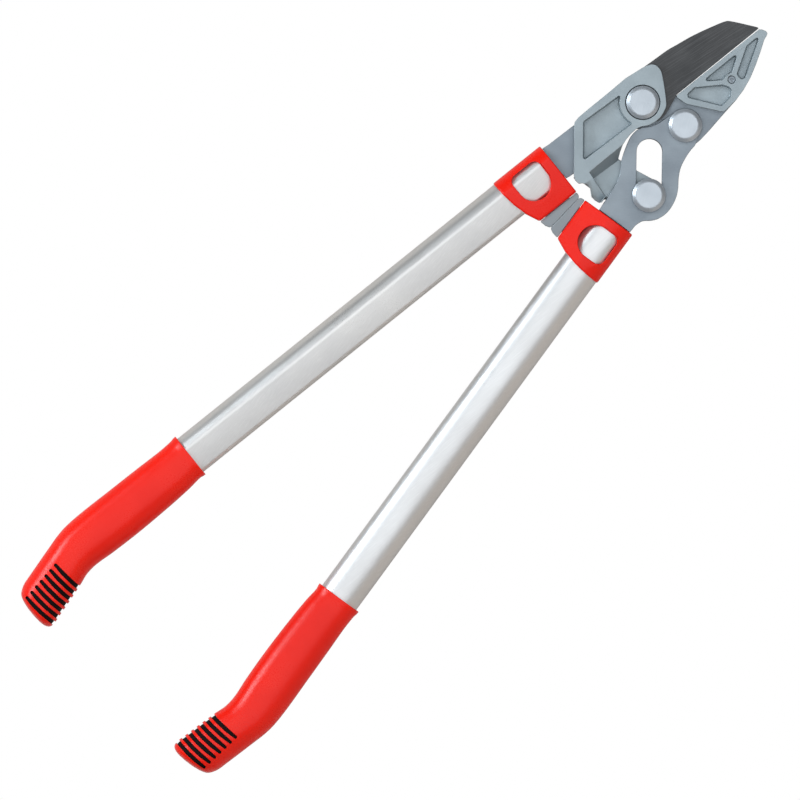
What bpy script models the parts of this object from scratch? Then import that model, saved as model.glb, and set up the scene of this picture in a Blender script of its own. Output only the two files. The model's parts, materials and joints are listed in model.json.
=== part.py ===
"""Long handled anvil lopper with a roller and slot power lever, lying flat.

Metres, +Z up.  The tool lies on its cap nuts and the backs of its grips, jaws
towards +Y, handles towards -Y, front face up.  Outlines are drawn in
millimetres from the point midway between the handles, level with the blade
pivot, and the root empty then centres the whole tool on the origin.
"""
import math

import bmesh
import bpy
from mathutils import Matrix, Vector

MM = 0.001

# Driving dimensions, metres.
TUBE_WIDTH = 0.032
TUBE_DEPTH = 0.021
TUBE_WALL = 0.0015
TUBE_TOP = 0.019
TUBE_END = -0.444
HANDLE_TILT = math.radians(7.52)
HANDLE_AXIS_X = -0.0345
HANDLE_AXIS_Y = -0.100
GRIP_LENGTH = 0.1687
GRIP_END = -0.5022
PLATE_THICKNESS = 0.006
BLADE_THICKNESS = 0.005
LAYER_GAP = 0.0003
CASTING_RISE = 0.0047
ANVIL_RISE = 0.0042
MID_HEIGHT = 0.0165
HEAD_RADIUS = 0.0127
HEAD_HEIGHT = 0.0062
SHANK_RADIUS = 0.005
PIN_CLEARANCE = 0.0002
SLOT_HALF_WIDTH = 0.00977
ROLLER_RADIUS = 0.0074
ROLLER_BORE = 0.0053
NUT_HEIGHT = 0.0063
WASHER_THICKNESS = 0.0015
RIVET_RADIUS = 0.0025
TANG_HALF_WIDTH = TUBE_WIDTH * 0.344
TANG_HALF_DEPTH = 0.005
TANG_BOTTOM = -0.028
GROOVE_COUNT = 7
GROOVE_PITCH = 0.0054
GROOVE_WIDTH = 0.0033
GROOVE_START = 0.0371
SHELL_WALL = 0.0010
NUT_RADIUS = 0.0098
WASHER_RADIUS = 0.0112
SPACER_RADIUS = 0.0125
DOWEL_RADIUS = 0.0015
ANVIL_DOWEL_RADIUS = 0.002
BOSS_RADIUS = 0.0049
SCREW_HEAD_RADIUS = 0.00275
SCREW_SHANK_RADIUS = 0.0019
ANVIL_POCKET_FLOOR = 0.003
CARRIER_POCKET_FLOOR = 0.0028
CASTING_DRAFT = 0.0005

# Pivot positions in the outline drawing, millimetres.
BLADE_PIVOT = (-15.1, 0.0)
HANDLE_PIVOT = (20.15, 9.6)
DRIVE_PIN = (36.9, -47.7)
SLOT_INNER_END = (14.4, -23.4)

# Heights of the layers, metres above the rest plane.
MID_LOW = MID_HEIGHT - PLATE_THICKNESS / 2
MID_HIGH = MID_HEIGHT + PLATE_THICKNESS / 2
FRONT_LOW = MID_HIGH + LAYER_GAP
FRONT_HIGH = FRONT_LOW + BLADE_THICKNESS
REAR_HIGH = MID_LOW - LAYER_GAP
REAR_LOW = REAR_HIGH - BLADE_THICKNESS
CASTING_TOP = FRONT_HIGH + CASTING_RISE
ANVIL_TOP = FRONT_HIGH + ANVIL_RISE
WASHER_TOP = REAR_LOW - PIN_CLEARANCE
WASHER_LOW = WASHER_TOP - WASHER_THICKNESS
NUT_TOP = WASHER_LOW - PIN_CLEARANCE
NUT_LOW = NUT_TOP - NUT_HEIGHT

RED = (1.0, 0.035, 0.012, 1.0)
BLACK = (0.012, 0.012, 0.013, 1.0)
GREY_PLASTIC = (0.30, 0.33, 0.35, 1.0)
CASTING_GREY = (0.37, 0.44, 0.49, 1.0)
STEEL = (0.26, 0.30, 0.34, 1.0)
BRIGHT_STEEL = (0.62, 0.68, 0.73, 1.0)
BLADE_DARK = (0.058, 0.060, 0.063, 1.0)
TUBE_METAL = (0.78, 0.78, 0.76, 1.0)

# Places along a handle, metres from the handle point.
UPPER_RIVET = 0.0155
LOWER_RIVET = -0.0195
COLLAR_TOP = 0.0202
STOP_GAP = 0.00015

# Grip sections in millimetres: place along, inner side, outer side, depth.
GRIP_STATIONS = [
    (0.0, -18.3, 18.5, 13.6),
    (-1.2, -18.6, 18.8, 13.9),
    (-3.5, -17.7, 17.9, 13.2),
    (-16.5, -17.0, 19.3, 13.9),
    (-36.5, -17.35, 20.4, 14.7),
    (-66.5, -17.65, 21.1, 15.3),
    (-91.5, -17.9, 20.7, 15.7),
    (-107.5, -17.2, 19.9, 15.9),
    (-117.5, -15.4, 21.1, 16.1),
    (-125.5, -13.1, 24.0, 16.25),
    (-141.5, -8.4, 29.2, 16.4),
    (-151.5, -5.4, 32.1, 16.45),
    (-159.5, -2.9, 34.6, 16.5),
    (-164.0, -0.2, 34.7, 16.0),
    (-166.7, 2.8, 32.2, 14.4),
    (-168.1, 7.4, 27.6, 11.0),
    (-168.7, 12.5, 22.0, 6.0),
]
GRIP_SEGMENTS = 16

# Drawing points and widths of the head, millimetres.
BLADE_EDGE = [(9.65, 101.2), (-0.55, 22.0)]
DOWEL_REACH = HEAD_RADIUS / MM + 3.05
DOWELS = [(-28.2, 17.4), (BLADE_PIVOT[0] + 0.546 * DOWEL_REACH, 0.838 * DOWEL_REACH)]
ANVIL_SCREW = (21.7, 59.0)
ANVIL_DOWEL = (4.3, 38.5)
LEFT_TANG = TUBE_WIDTH * 0.3625 / MM
REAR_RIVETS = [(7.0, 27.0), (-7.0, 28.5)]


def clear_scene():
    """Remove whatever the new file holds."""
    for item in list(bpy.data.objects):
        bpy.data.objects.remove(item, do_unlink=True)


def make_material(name, colour, roughness, metallic):
    """One Principled material."""
    material = bpy.data.materials.new(name)
    material.use_nodes = True
    shader = material.node_tree.nodes["Principled BSDF"]
    shader.inputs["Base Color"].default_value = colour
    shader.inputs["Roughness"].default_value = roughness
    shader.inputs["Metallic"].default_value = metallic
    return material


def make_empty(name, location, parent):
    """An empty that carries a moving body."""
    empty = bpy.data.objects.new(name, None)
    bpy.context.scene.collection.objects.link(empty)
    empty.location = location
    empty.parent = parent
    bpy.context.view_layer.update()
    return empty


def make_object(name, bm, material=None):
    """Turn a bmesh into an object of its own."""
    bmesh.ops.recalc_face_normals(bm, faces=bm.faces)
    mesh = bpy.data.meshes.new(name)
    bm.to_mesh(mesh)
    bm.free()
    item = bpy.data.objects.new(name, mesh)
    bpy.context.scene.collection.objects.link(item)
    if material is not None:
        mesh.materials.append(material)
    return item


def centred(points):
    """Drawing points in millimetres to metres."""
    return [(x * MM, y * MM) for x, y in points]


def smooth_run(points, steps):
    """Catmull-Rom curve through the points, end points kept."""
    result = []
    last = len(points) - 1
    for i in range(last):
        p0 = Vector(points[max(i - 1, 0)])
        p1 = Vector(points[i])
        p2 = Vector(points[i + 1])
        p3 = Vector(points[min(i + 2, last)])
        for k in range(steps):
            t = k / steps
            a = 2 * p1 + (p2 - p0) * t
            b = (2 * p0 - 5 * p1 + 4 * p2 - p3) * t * t
            c = (3 * p1 - p0 - 3 * p2 + p3) * t * t * t
            result.append(tuple((a + b + c) * 0.5))
    result.append(tuple(points[last]))
    return result


def rounded(points, radius, steps=3):
    """Polygon with every corner rounded by the radius, as far as its sides allow."""
    result = []
    count = len(points)
    for i in range(count):
        before = Vector(points[i - 1])
        here = Vector(points[i])
        after = Vector(points[(i + 1) % count])
        to_before = (before - here)
        to_after = (after - here)
        reach = min(to_before.length, to_after.length) * 0.45
        angle = to_before.angle(to_after)
        if angle > math.radians(165):
            result.append(tuple(here))
            continue
        cut = min(radius / math.tan(angle / 2), reach)
        start = here + to_before.normalized() * cut
        end = here + to_after.normalized() * cut
        for k in range(steps + 1):
            t = k / steps
            point = start * (1 - t) ** 2 + here * 2 * t * (1 - t) + end * t * t
            result.append(tuple(point))
    return result


def arc(centre, radius, start, end, steps):
    """Points on an arc, angles in degrees."""
    points = []
    for k in range(steps + 1):
        angle = math.radians(start + (end - start) * k / steps)
        x = centre[0] + radius * math.cos(angle)
        y = centre[1] + radius * math.sin(angle)
        points.append((x, y))
    return points


def grown(points, distance):
    """Closed outline moved outwards by a distance; a negative one shrinks it."""
    count = len(points)
    area = 0.0
    for i in range(count):
        x0, y0 = points[i - 1]
        x1, y1 = points[i]
        area += x0 * y1 - x1 * y0
    side = 1.0 if area > 0 else -1.0
    result = []
    for i in range(count):
        here = Vector(points[i])
        first = (here - Vector(points[i - 1])).normalized()
        second = (Vector(points[(i + 1) % count]) - here).normalized()
        n1 = Vector((first.y, -first.x)) * side
        n2 = Vector((second.y, -second.x)) * side
        total = n1 + n2
        scale = distance / max(1.0 + n1.dot(n2), 0.35)
        result.append(tuple(here + total * scale))
    return result


def prism(name, outline, low, high, material=None):
    """Upright prism on an outline in metres."""
    bm = bmesh.new()
    bottom = [bm.verts.new((x, y, low)) for x, y in outline]
    top = [bm.verts.new((x, y, high)) for x, y in outline]
    count = len(outline)
    bm.faces.new(list(reversed(bottom)))
    bm.faces.new(top)
    for i in range(count):
        j = (i + 1) % count
        bm.faces.new((bottom[i], bottom[j], top[j], top[i]))
    return make_object(name, bm, material)


def tapered(name, outline, low, high, spread, material=None):
    """Prism whose top outline is grown by the spread."""
    bm = bmesh.new()
    bottom = [bm.verts.new((x, y, low)) for x, y in outline]
    top = [bm.verts.new((x, y, high)) for x, y in grown(outline, spread)]
    count = len(outline)
    bm.faces.new(list(reversed(bottom)))
    bm.faces.new(top)
    for i in range(count):
        j = (i + 1) % count
        bm.faces.new((bottom[i], bottom[j], top[j], top[i]))
    return make_object(name, bm, material)


def loft(name, rings, material=None):
    """Closed solid through rings of equal length, flat caps on both ends."""
    bm = bmesh.new()
    made = [[bm.verts.new(point) for point in ring] for ring in rings]
    count = len(rings[0])
    for lower, upper in zip(made, made[1:]):
        for i in range(count):
            j = (i + 1) % count
            bm.faces.new((lower[i], lower[j], upper[j], upper[i]))
    bm.faces.new(made[0])
    bm.faces.new(made[-1])
    return make_object(name, bm, material)


def lathe(name, profile, centre, material=None, segments=24):
    """Turned piece; the profile runs from axis to axis, or closes on itself."""
    bm = bmesh.new()
    on_axis = profile[0][0] == 0.0
    inner = profile[1:-1] if on_axis else profile
    rings = []
    for radius, z in inner:
        ring = []
        for k in range(segments):
            angle = 2 * math.pi * k / segments
            x = centre[0] * MM + radius * math.cos(angle)
            y = centre[1] * MM + radius * math.sin(angle)
            ring.append(bm.verts.new((x, y, z)))
        rings.append(ring)
    pairs = list(zip(rings, rings[1:]))
    if not on_axis:
        pairs.append((rings[-1], rings[0]))
    for lower, upper in pairs:
        for k in range(segments):
            m = (k + 1) % segments
            bm.faces.new((lower[k], lower[m], upper[m], upper[k]))
    if on_axis:
        bm.faces.new(rings[0])
        bm.faces.new(rings[-1])
    return make_object(name, bm, material)


def cylinder(name, centre, radius, low, high, material=None, segments=24):
    """Upright cylinder; the centre is in drawing millimetres."""
    outline = arc((centre[0] * MM, centre[1] * MM), radius, 0, 360, segments)[:-1]
    return prism(name, outline, low, high, material)


def combine(target, tool, operation):
    """Boolean the tool into the target and keep the result as its mesh."""
    modifier = target.modifiers.new(operation, "BOOLEAN")
    modifier.operation = operation
    modifier.solver = "EXACT"
    modifier.object = tool
    bpy.context.view_layer.update()
    depsgraph = bpy.context.evaluated_depsgraph_get()
    mesh = bpy.data.meshes.new_from_object(target.evaluated_get(depsgraph))
    target.modifiers.clear()
    target.data = mesh
    bpy.data.objects.remove(tool, do_unlink=True)
    return target


def cut(target, *tools):
    """Take every tool out of the target."""
    for tool in tools:
        combine(target, tool, "DIFFERENCE")
    return target


def join(target, *tools):
    """Add every tool to the target."""
    for tool in tools:
        combine(target, tool, "UNION")
    return target


def soften(item, width, segments=1, angle=45):
    """Small bevel along the sharp edges, and smooth shading on round sides."""
    modifier = item.modifiers.new("Edges", "BEVEL")
    modifier.width = width
    modifier.segments = segments
    modifier.limit_method = "ANGLE"
    modifier.angle_limit = math.radians(angle)
    modifier.miter_outer = "MITER_ARC" if segments > 1 else "MITER_SHARP"
    modifier.harden_normals = False
    return item


def shade(item):
    """Smooth shading with sharp edges kept."""
    item.data.shade_smooth()
    item.data.set_sharp_from_angle(angle=math.radians(35))


def settle(item, parent, matrix=None):
    """Put a piece under its body, with its own origin on the body's axis."""
    world = matrix if matrix is not None else Matrix.Identity(4)
    if matrix is None:
        offset = parent.matrix_world.translation - ROOT.matrix_world.translation
        item.data.transform(Matrix.Translation(-offset))
        world = Matrix.Translation(offset)
    item.parent = parent
    item.matrix_local = parent_offset(parent).inverted() @ world
    shade(item)
    return item


def parent_offset(parent):
    """Matrix of a body's empty inside the drawing."""
    return ROOT.matrix_world.inverted() @ parent.matrix_world


def handle_point(s, t, side=-1):
    """Drawing millimetres of a point across (s) and along (t) a handle."""
    x = HANDLE_AXIS_X / MM + s * math.cos(HANDLE_TILT) + t * math.sin(HANDLE_TILT)
    y = HANDLE_AXIS_Y / MM - s * math.sin(HANDLE_TILT) + t * math.cos(HANDLE_TILT)
    return (x, y) if side < 0 else (-x, y)


def handle_matrix(side):
    """Placement of a handle piece: the right one is the left one turned over."""
    place = Matrix.Translation((HANDLE_AXIS_X, HANDLE_AXIS_Y, MID_HEIGHT))
    left = place @ Matrix.Rotation(-HANDLE_TILT, 4, "Z")
    if side < 0:
        return left
    centre = Matrix.Translation((0, 0, MID_HEIGHT))
    turn = centre @ Matrix.Rotation(math.pi, 4, "Y") @ centre.inverted()
    return turn @ left


def tube_section(offset=0.0):
    """Handle tube outline across: curved band, crease, sloping flat, oval back."""
    points = arc((0, 0), 1.0, 180, 360, 10)
    points += [(0.975, 0.30), (0.915, 0.50), (0.82, 0.63)]
    points += [(-0.27, 0.98), (-0.344, 1.0), (-0.43, 0.975)]
    points += [(-0.60, 0.87), (-0.77, 0.68), (-0.91, 0.41), (-0.98, 0.18)]
    half_width = TUBE_WIDTH / 2
    half_depth = TUBE_DEPTH / 2
    scaled = [(x * half_width, z * half_depth) for x, z in points]
    return grown(scaled, offset) if offset else scaled


def along_handle(section, t):
    """Section points placed at a station along the handle."""
    return [(s, t, z) for s, z in section]


def tube_plug(name, offset, start, end, material=None):
    """Solid bar of the tube's section."""
    section = tube_section(offset)
    rings = [along_handle(section, start), along_handle(section, end)]
    return loft(name, rings, material)


def make_tube(material):
    """Steel tube, riveted at its top, from under the collar into the grip."""
    tube = tube_plug("tube", 0.0, TUBE_END, TUBE_TOP, material)
    bore = tube_plug("bore", -TUBE_WALL, TUBE_END - 0.001, TUBE_TOP + 0.001)
    cut(tube, bore)
    for t in (UPPER_RIVET, LOWER_RIVET):
        radius = RIVET_RADIUS + 2 * PIN_CLEARANCE
        cut(tube, cylinder("hole", (0, t / MM), radius, -0.02, 0.02, segments=12))
    return tube


def make_rivet(name, t, material):
    """Tang rivet, flush with both sides of the tube."""
    half = TUBE_DEPTH / 2
    rise = half * 0.80
    return cylinder(name, (0, t / MM), RIVET_RADIUS, -half + 0.0003, rise, material, 12)


def make_insert(name, half_width, half_depth, material):
    """Plastic plug in the tube end, slotted for the lever's tang."""
    fit = -TUBE_WALL - LAYER_GAP
    plug = tube_plug(name, fit, -0.031, TUBE_TOP, material)
    w = half_width + LAYER_GAP
    d = half_depth + LAYER_GAP
    top = TUBE_TOP + 0.001
    slot_low = TANG_BOTTOM - LAYER_GAP
    slot = prism("slot", [(-w, slot_low), (w, slot_low), (w, top), (-w, top)], -d, d)
    cut(plug, slot)
    for t in (UPPER_RIVET, LOWER_RIVET):
        radius = RIVET_RADIUS + 2 * PIN_CLEARANCE
        cut(plug, cylinder("hole", (0, t / MM), radius, -0.02, 0.02, segments=12))
    return plug


def collar_section(offset=0.0):
    """Collar outline across: ridge over the crease, flared to the stop block."""
    scale_x = TUBE_WIDTH / 0.032 * MM
    scale_z = TUBE_DEPTH / 0.021 * MM
    front = [(27.5, -6.8), (27.5, 6.8), (26.4, 8.3), (17, 10.7), (6, 12.6)]
    front += [(-3.8, 13.9), (-5, 14.0), (-6.4, 13.7), (-10.8, 12.0), (-14.4, 8.9)]
    front += [(-16.5, 4.8), (-17, 0)]
    back = [(-16.5, -4.9), (-14, -8.6), (-9, -11.6), (-2, -13.3), (3.4, -14.0)]
    back += [(4.6, -14.0), (6, -13.7), (16.5, -10.9), (26.2, -8.4)]
    points = [(x * scale_x, z * scale_z) for x, z in front + back]
    return grown(points, offset) if offset else points


def collar_bottom(s):
    """The collar's slanting lower edge."""
    across = s / (TUBE_WIDTH / 0.032) / MM
    run = [(-17, -25.4), (-8, -25.0), (0, -24.2), (8, -22.9), (16, -20.6), (27.5, -15.5)]
    for (s0, t0), (s1, t1) in zip(run, run[1:]):
        if across <= s1:
            return (t0 + (t1 - t0) * (across - s0) / (s1 - s0)) * MM
    return run[-1][1] * MM


def collar_ring(inset, lift_bottom, top=None):
    """One ring of the collar, at its slanted foot or at a level near its top."""
    ring = []
    for s, z in collar_section(inset):
        t = collar_bottom(s) + lift_bottom if top is None else top
        ring.append((s, t, z))
    return ring


def window_outline(offset=0.0):
    """The collar's D shaped window."""
    points = arc((-6.0, -8.6), 4.8, 270, 180, 4)
    points += arc((-6.0, 5.8), 4.8, 180, 90, 4)
    points += arc((3.0, -1.4), 12.0, 90, -90, 10)
    scale = TUBE_WIDTH / 0.032 * MM
    points = [(x * scale, y * MM) for x, y in points]
    return grown(points, offset) if offset else points


def make_collar(material):
    """Moulded collar over the tube's top end, with a window on both faces."""
    rings = [collar_ring(-0.0011, 0.0), collar_ring(-0.0003, 0.0004)]
    rings += [collar_ring(0.0, 0.0012)]
    rings += [collar_ring(0.0, 0, COLLAR_TOP - 0.0008)]
    rings += [collar_ring(-0.0007, 0, COLLAR_TOP)]
    collar = loft("collar", rings, material)
    cut(collar, tube_plug("cavity", LAYER_GAP, -0.03, 0.03))
    cut(collar, tapered("window", window_outline(0.0), 0.0, 0.016, 0.0012))
    back = tapered("window", window_outline(0.0), 0.0, 0.016, 0.0012)
    back.data.transform(Matrix.Scale(-1, 4, (0, 0, 1)))
    back.data.flip_normals()
    cut(collar, back)
    cut(collar, prism("pocket", grown(tongue_outline(), LAYER_GAP), -0.0053, 0.0053))
    return collar


def meeting_line(t):
    """How far across the handle the two stop blocks meet."""
    reach = -HANDLE_AXIS_X - STOP_GAP - t * math.sin(HANDLE_TILT)
    return reach / math.cos(HANDLE_TILT)


def tongue_outline():
    """Tongue of the stop block, held in the collar."""
    return [(0.0215, -0.009), (0.0285, -0.009), (0.0285, 0.013), (0.0215, 0.013)]


def make_stop_block(material):
    """Soft block that meets its twin when the handles are closed."""
    edge = 0.0278
    low = -0.0113
    high = 0.0182
    points = [(edge, -0.0154), (0.0329, -0.0143), (meeting_line(low) - 0.0006, -0.0127)]
    points += [(meeting_line(low), low), (meeting_line(high), high)]
    points += [(meeting_line(high) - 0.0008, 0.0192), (0.0305, 0.0198), (edge, 0.0200)]
    block = prism("stop", rounded(points, 0.001, 2), -0.006, 0.006, material)
    tongue = [(0.0215, -0.009), (0.0300, -0.009), (0.0300, 0.013), (0.0215, 0.013)]
    return join(block, prism("tongue", tongue, -0.005, 0.005))


def grip_station(distance):
    """Outer edge, inner edge and half depth of the grip at a distance from its mouth."""
    for first, second in zip(GRIP_STATIONS, GRIP_STATIONS[1:]):
        if distance >= second[0]:
            share = (first[0] - distance) / (first[0] - second[0])
            return [a + (b - a) * share for a, b in zip(first[1:], second[1:])]
    return list(GRIP_STATIONS[-1][1:])


def grip_ring(distance, outer, inner, half_depth, inset):
    """Oval ring of the grip, slightly squared."""
    ring = []
    middle = (outer + inner) / 2
    half = (inner - outer) / 2 - inset
    deep = half_depth - inset
    t = GRIP_END + GRIP_LENGTH + distance * GRIP_LENGTH / 168.7
    for k in range(GRIP_SEGMENTS):
        angle = 2 * math.pi * k / GRIP_SEGMENTS
        c = math.cos(angle)
        s = math.sin(angle)
        x = middle + half * math.copysign(abs(c) ** 0.86, c)
        z = deep * math.copysign(abs(s) ** 0.86, s)
        ring.append((x * MM, t, z * MM))
    return ring


def grip_solid(name, distances, inset, material=None):
    """Solid through grip rings, drawn in by the inset."""
    rings = []
    for distance in distances:
        outer, inner, deep = grip_station(distance)
        rings.append(grip_ring(distance, outer, inner, deep, inset))
    return loft(name, rings, material)


def groove_outline(index):
    """One sagging groove, from the grip's flank out over its inner edge."""
    start_s = -0.4 + 0.97 * index
    start_t = GRIP_END + GROOVE_START - index * GROOVE_PITCH
    slope = math.tan(HANDLE_TILT)
    upper = []
    lower = []
    for k in range(5):
        s = start_s + (41.0 - start_s) * k / 4
        sag = 1.0 * math.sin(math.pi * min(k / 3.3, 1.0))
        t = start_t + ((s - start_s) * slope - sag) * MM
        half = GROOVE_WIDTH / 2 * (0.75 if k == 0 else 1.0)
        upper.append((s * MM, t + half))
        lower.append((s * MM, t - half))
    upper[0] = (upper[0][0] + 0.8 * MM, upper[0][1])
    lower[0] = (lower[0][0] + 0.8 * MM, lower[0][1])
    nose = [((start_s) * MM, start_t)]
    return lower + list(reversed(upper)) + nose


def make_grip(material):
    """Grip shell, hollow for the tube and for the dark inlay at its end."""
    distances = [station[0] for station in GRIP_STATIONS]
    distances += [-51.0, -112.5, -121.5, -133.0]
    distances.sort(reverse=True)
    grip = grip_solid("grip", distances, 0.0, material)
    mouth = GRIP_END + GRIP_LENGTH
    cut(grip, tube_plug("bore", LAYER_GAP, TUBE_END - 0.002, mouth + 0.005))
    inner = [-122.5, -133.0, -141.5, -151.5, -159.5, -164.0, -166.2]
    cut(grip, grip_solid("hollow", inner, SHELL_WALL / MM))
    for index in range(GROOVE_COUNT):
        cut(grip, prism("groove", groove_outline(index), -0.02, 0.02))
    return grip


def make_core(material):
    """Dark core whose surface shows in the grooves."""
    gap = LAYER_GAP / MM
    inner = [-122.5 - gap, -133.0, -141.5, -151.5, -159.5, -164.0, -166.2 + gap]
    return grip_solid("core", inner, SHELL_WALL / MM + gap, material)


def grow_mm(points, distance):
    """Outline in millimetres, grown, as metres."""
    return centred(grown(points, distance))


def stadium(centre_a, centre_b, radius, low, high, name="slot"):
    """Round ended slot between two drawing points."""
    a = Vector(centre_a)
    b = Vector(centre_b)
    heading = math.degrees(math.atan2(b.y - a.y, b.x - a.x))
    r = radius / MM
    points = arc(b, r, heading - 90, heading + 90, 12)
    points += arc(a, r, heading + 90, heading + 270, 12)
    return prism(name, centred(points), low, high)


def blade_outline():
    """Blade with its tang round the pivot."""
    top = [(9.65, 101.2), (8.9, 101.6), (7.4, 100.9)]
    shoulder = smooth_run([(7.4, 100.9), (-8.6, 91.3), (-12.6, 87.4), (-16.2, 79.6)], 3)
    back = smooth_run([(-16.2, 79.6), (-20.1, 70.0), (-23.7, 60.0), (-26.6, 50.0),
                       (-29.1, 41.4), (-31.2, 30.0), (-33.0, 20.4)], 2)
    tang = [(-31.4, 14.0), (-29.4, 2.0)]
    heel = arc(BLADE_PIVOT, 14.2, 200, 318, 10)
    front = [(3.0, -2.5), (3.9, 1.5), (3.7, 6.0), (2.4, 11.5), (0.8, 17.0), (-0.55, 22.0)]
    return top + shoulder[1:] + back[1:] + tang + heel + front


def make_blade(material):
    """Blade, flat in front and thinned to its edge on the rear."""
    blade = prism("blade", centred(blade_outline()), FRONT_LOW, FRONT_HIGH, material)
    a = Vector(BLADE_EDGE[0])
    b = Vector(BLADE_EDGE[1])
    run = (b - a).normalized()
    inward = Vector((run.y, -run.x))
    wedge_start = a - run * 6
    wedge_end = b - run * 1.0
    bm = bmesh.new()
    rows = []
    for point in (wedge_start, wedge_end):
        land = point + inward * 6.2
        out = point - inward * 2.0
        slope = (BLADE_THICKNESS - 0.0009) / 6.2
        row = [(land, FRONT_LOW), (out, FRONT_LOW + slope * 8.2)]
        row += [(out, FRONT_LOW - 0.002), (land, FRONT_LOW - 0.002)]
        rows.append([bm.verts.new((p.x * MM, p.y * MM, z)) for p, z in row])
    for k in range(4):
        m = (k + 1) % 4
        bm.faces.new((rows[0][k], rows[0][m], rows[1][m], rows[1][k]))
    bm.faces.new(rows[0])
    bm.faces.new(rows[1])
    cut(blade, make_object("bevel", bm))
    hole = SHANK_RADIUS + PIN_CLEARANCE
    cut(blade, cylinder("hole", BLADE_PIVOT, hole, 0, 0.05))
    for point in DOWELS:
        radius = DOWEL_RADIUS + PIN_CLEARANCE
        cut(blade, cylinder("hole", point, radius, 0, 0.05, segments=12))
    return blade


def anvil_outline():
    """Cast anvil, its straight face along the blade's edge."""
    points = [(-0.2, 22.0), (0.6, 21.0), (1.6, 20.7), (9.6, 22.0)]
    points += [(32.6, 36.1), (34.1, 37.6), (34.5, 40.0), (34.8, 50.0)]
    points += [(33.5, 60.0), (31.0, 70.0), (27.1, 80.0), (22.6, 90.0), (18.7, 97.9)]
    points += [(17.8, 101.6), (17.0, 103.2), (15.2, 103.7), (12.1, 102.5), (10.3, 101.0)]
    return points


def make_anvil(material):
    """Anvil casting with three pockets and a screw boss."""
    anvil = prism("anvil", centred(anvil_outline()), FRONT_LOW, ANVIL_TOP, material)
    floor = FRONT_LOW + ANVIL_POCKET_FLOOR
    top_pocket = [(14.0, 97.0), (12.9, 85.4), (22.1, 65.2), (26.3, 64.8), (27.5, 67.0)]
    mid_pocket = [(11.3, 75.7), (7.4, 44.3), (16.2, 54.3), (15.9, 57.6), (17.0, 63.2)]
    low_pocket = [(6.0, 35.0), (5.6, 28.1), (7.3, 27.2), (29.5, 39.8), (29.6, 48.6)]
    low_pocket += [(26.3, 52.9), (24.0, 53.0), (19.8, 51.0)]
    for outline in (top_pocket, mid_pocket, low_pocket):
        shape = centred(rounded(outline, 1.2, 2))
        cut(anvil, tapered("pocket", shape, floor, ANVIL_TOP + 0.001, CASTING_DRAFT))
    boss = cylinder("boss", ANVIL_SCREW, BOSS_RADIUS, FRONT_LOW + 0.001, ANVIL_TOP - 0.0002)
    join(anvil, boss)
    hole = SCREW_HEAD_RADIUS + PIN_CLEARANCE
    cut(anvil, cylinder("hole", ANVIL_SCREW, hole, floor, 0.05))
    thread = SCREW_SHANK_RADIUS + PIN_CLEARANCE
    cut(anvil, cylinder("hole", ANVIL_SCREW, thread, 0, 0.05, segments=12))
    pin = ANVIL_DOWEL_RADIUS + PIN_CLEARANCE
    blind = cylinder("hole", ANVIL_DOWEL, pin, 0, FRONT_LOW + 0.0062, segments=12)
    cut(anvil, blind)
    return anvil


def lever_plate_outline():
    """Steel plate that joins the left handle, the blade pivot and the anvil."""
    points = [(11.2, 99.0), (2.4, 40.0), (-0.4, 21.4), (-9.0, 18.6)]
    points += arc(BLADE_PIVOT, 14.5, 105, 178, 6)
    points += [(-33.0, -14.0), (-38.0, -34.0), (-41.2, -49.6), (-44.6, -72.0)]
    points += [handle_point(-14.3, 20.5), handle_point(-LEFT_TANG, 20.5)]
    points += [handle_point(-LEFT_TANG, TANG_BOTTOM / MM)]
    points += [handle_point(LEFT_TANG, TANG_BOTTOM / MM)]
    points += [handle_point(LEFT_TANG, 20.5), handle_point(14.6, 20.5)]
    points += [(-16.2, -78.0), (-11.3, -45.0), (-8.4, -22.5), (-4.9, -18.0)]
    points += [(2.4, -10.2), (11.0, -6.8)]
    points += arc(HANDLE_PIVOT, 15.0, 250, 325, 5)
    points += [(35.6, 4.6), (36.2, 10.0), (36.1, 20.0), (35.6, 30.0), (35.2, 40.0)]
    points += [(34.9, 50.0), (33.6, 60.0), (31.0, 69.4), (26.6, 79.4), (22.0, 89.4)]
    points += [(17.9, 97.4), (16.4, 101.2), (14.6, 102.2)]
    return points


def make_lever_plate(material):
    """The long steel plate."""
    outline = centred(lever_plate_outline())
    plate = prism("lever_plate", outline, MID_LOW, MID_HIGH, material)
    hole = SHANK_RADIUS + PIN_CLEARANCE
    cut(plate, cylinder("hole", BLADE_PIVOT, hole, 0, 0.05))
    cut(plate, cylinder("hole", HANDLE_PIVOT, hole, 0, 0.05))
    thread = SCREW_SHANK_RADIUS + PIN_CLEARANCE
    cut(plate, cylinder("hole", ANVIL_SCREW, thread, 0, 0.05, segments=12))
    pin = ANVIL_DOWEL_RADIUS + PIN_CLEARANCE
    cut(plate, cylinder("hole", ANVIL_DOWEL, pin, MID_LOW + 0.001, 0.05, segments=12))
    for t in (UPPER_RIVET, LOWER_RIVET):
        point = handle_point(0, t / MM)
        radius = RIVET_RADIUS + 2 * PIN_CLEARANCE
        cut(plate, cylinder("hole", point, radius, 0, 0.05, segments=12))
    return plate


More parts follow.
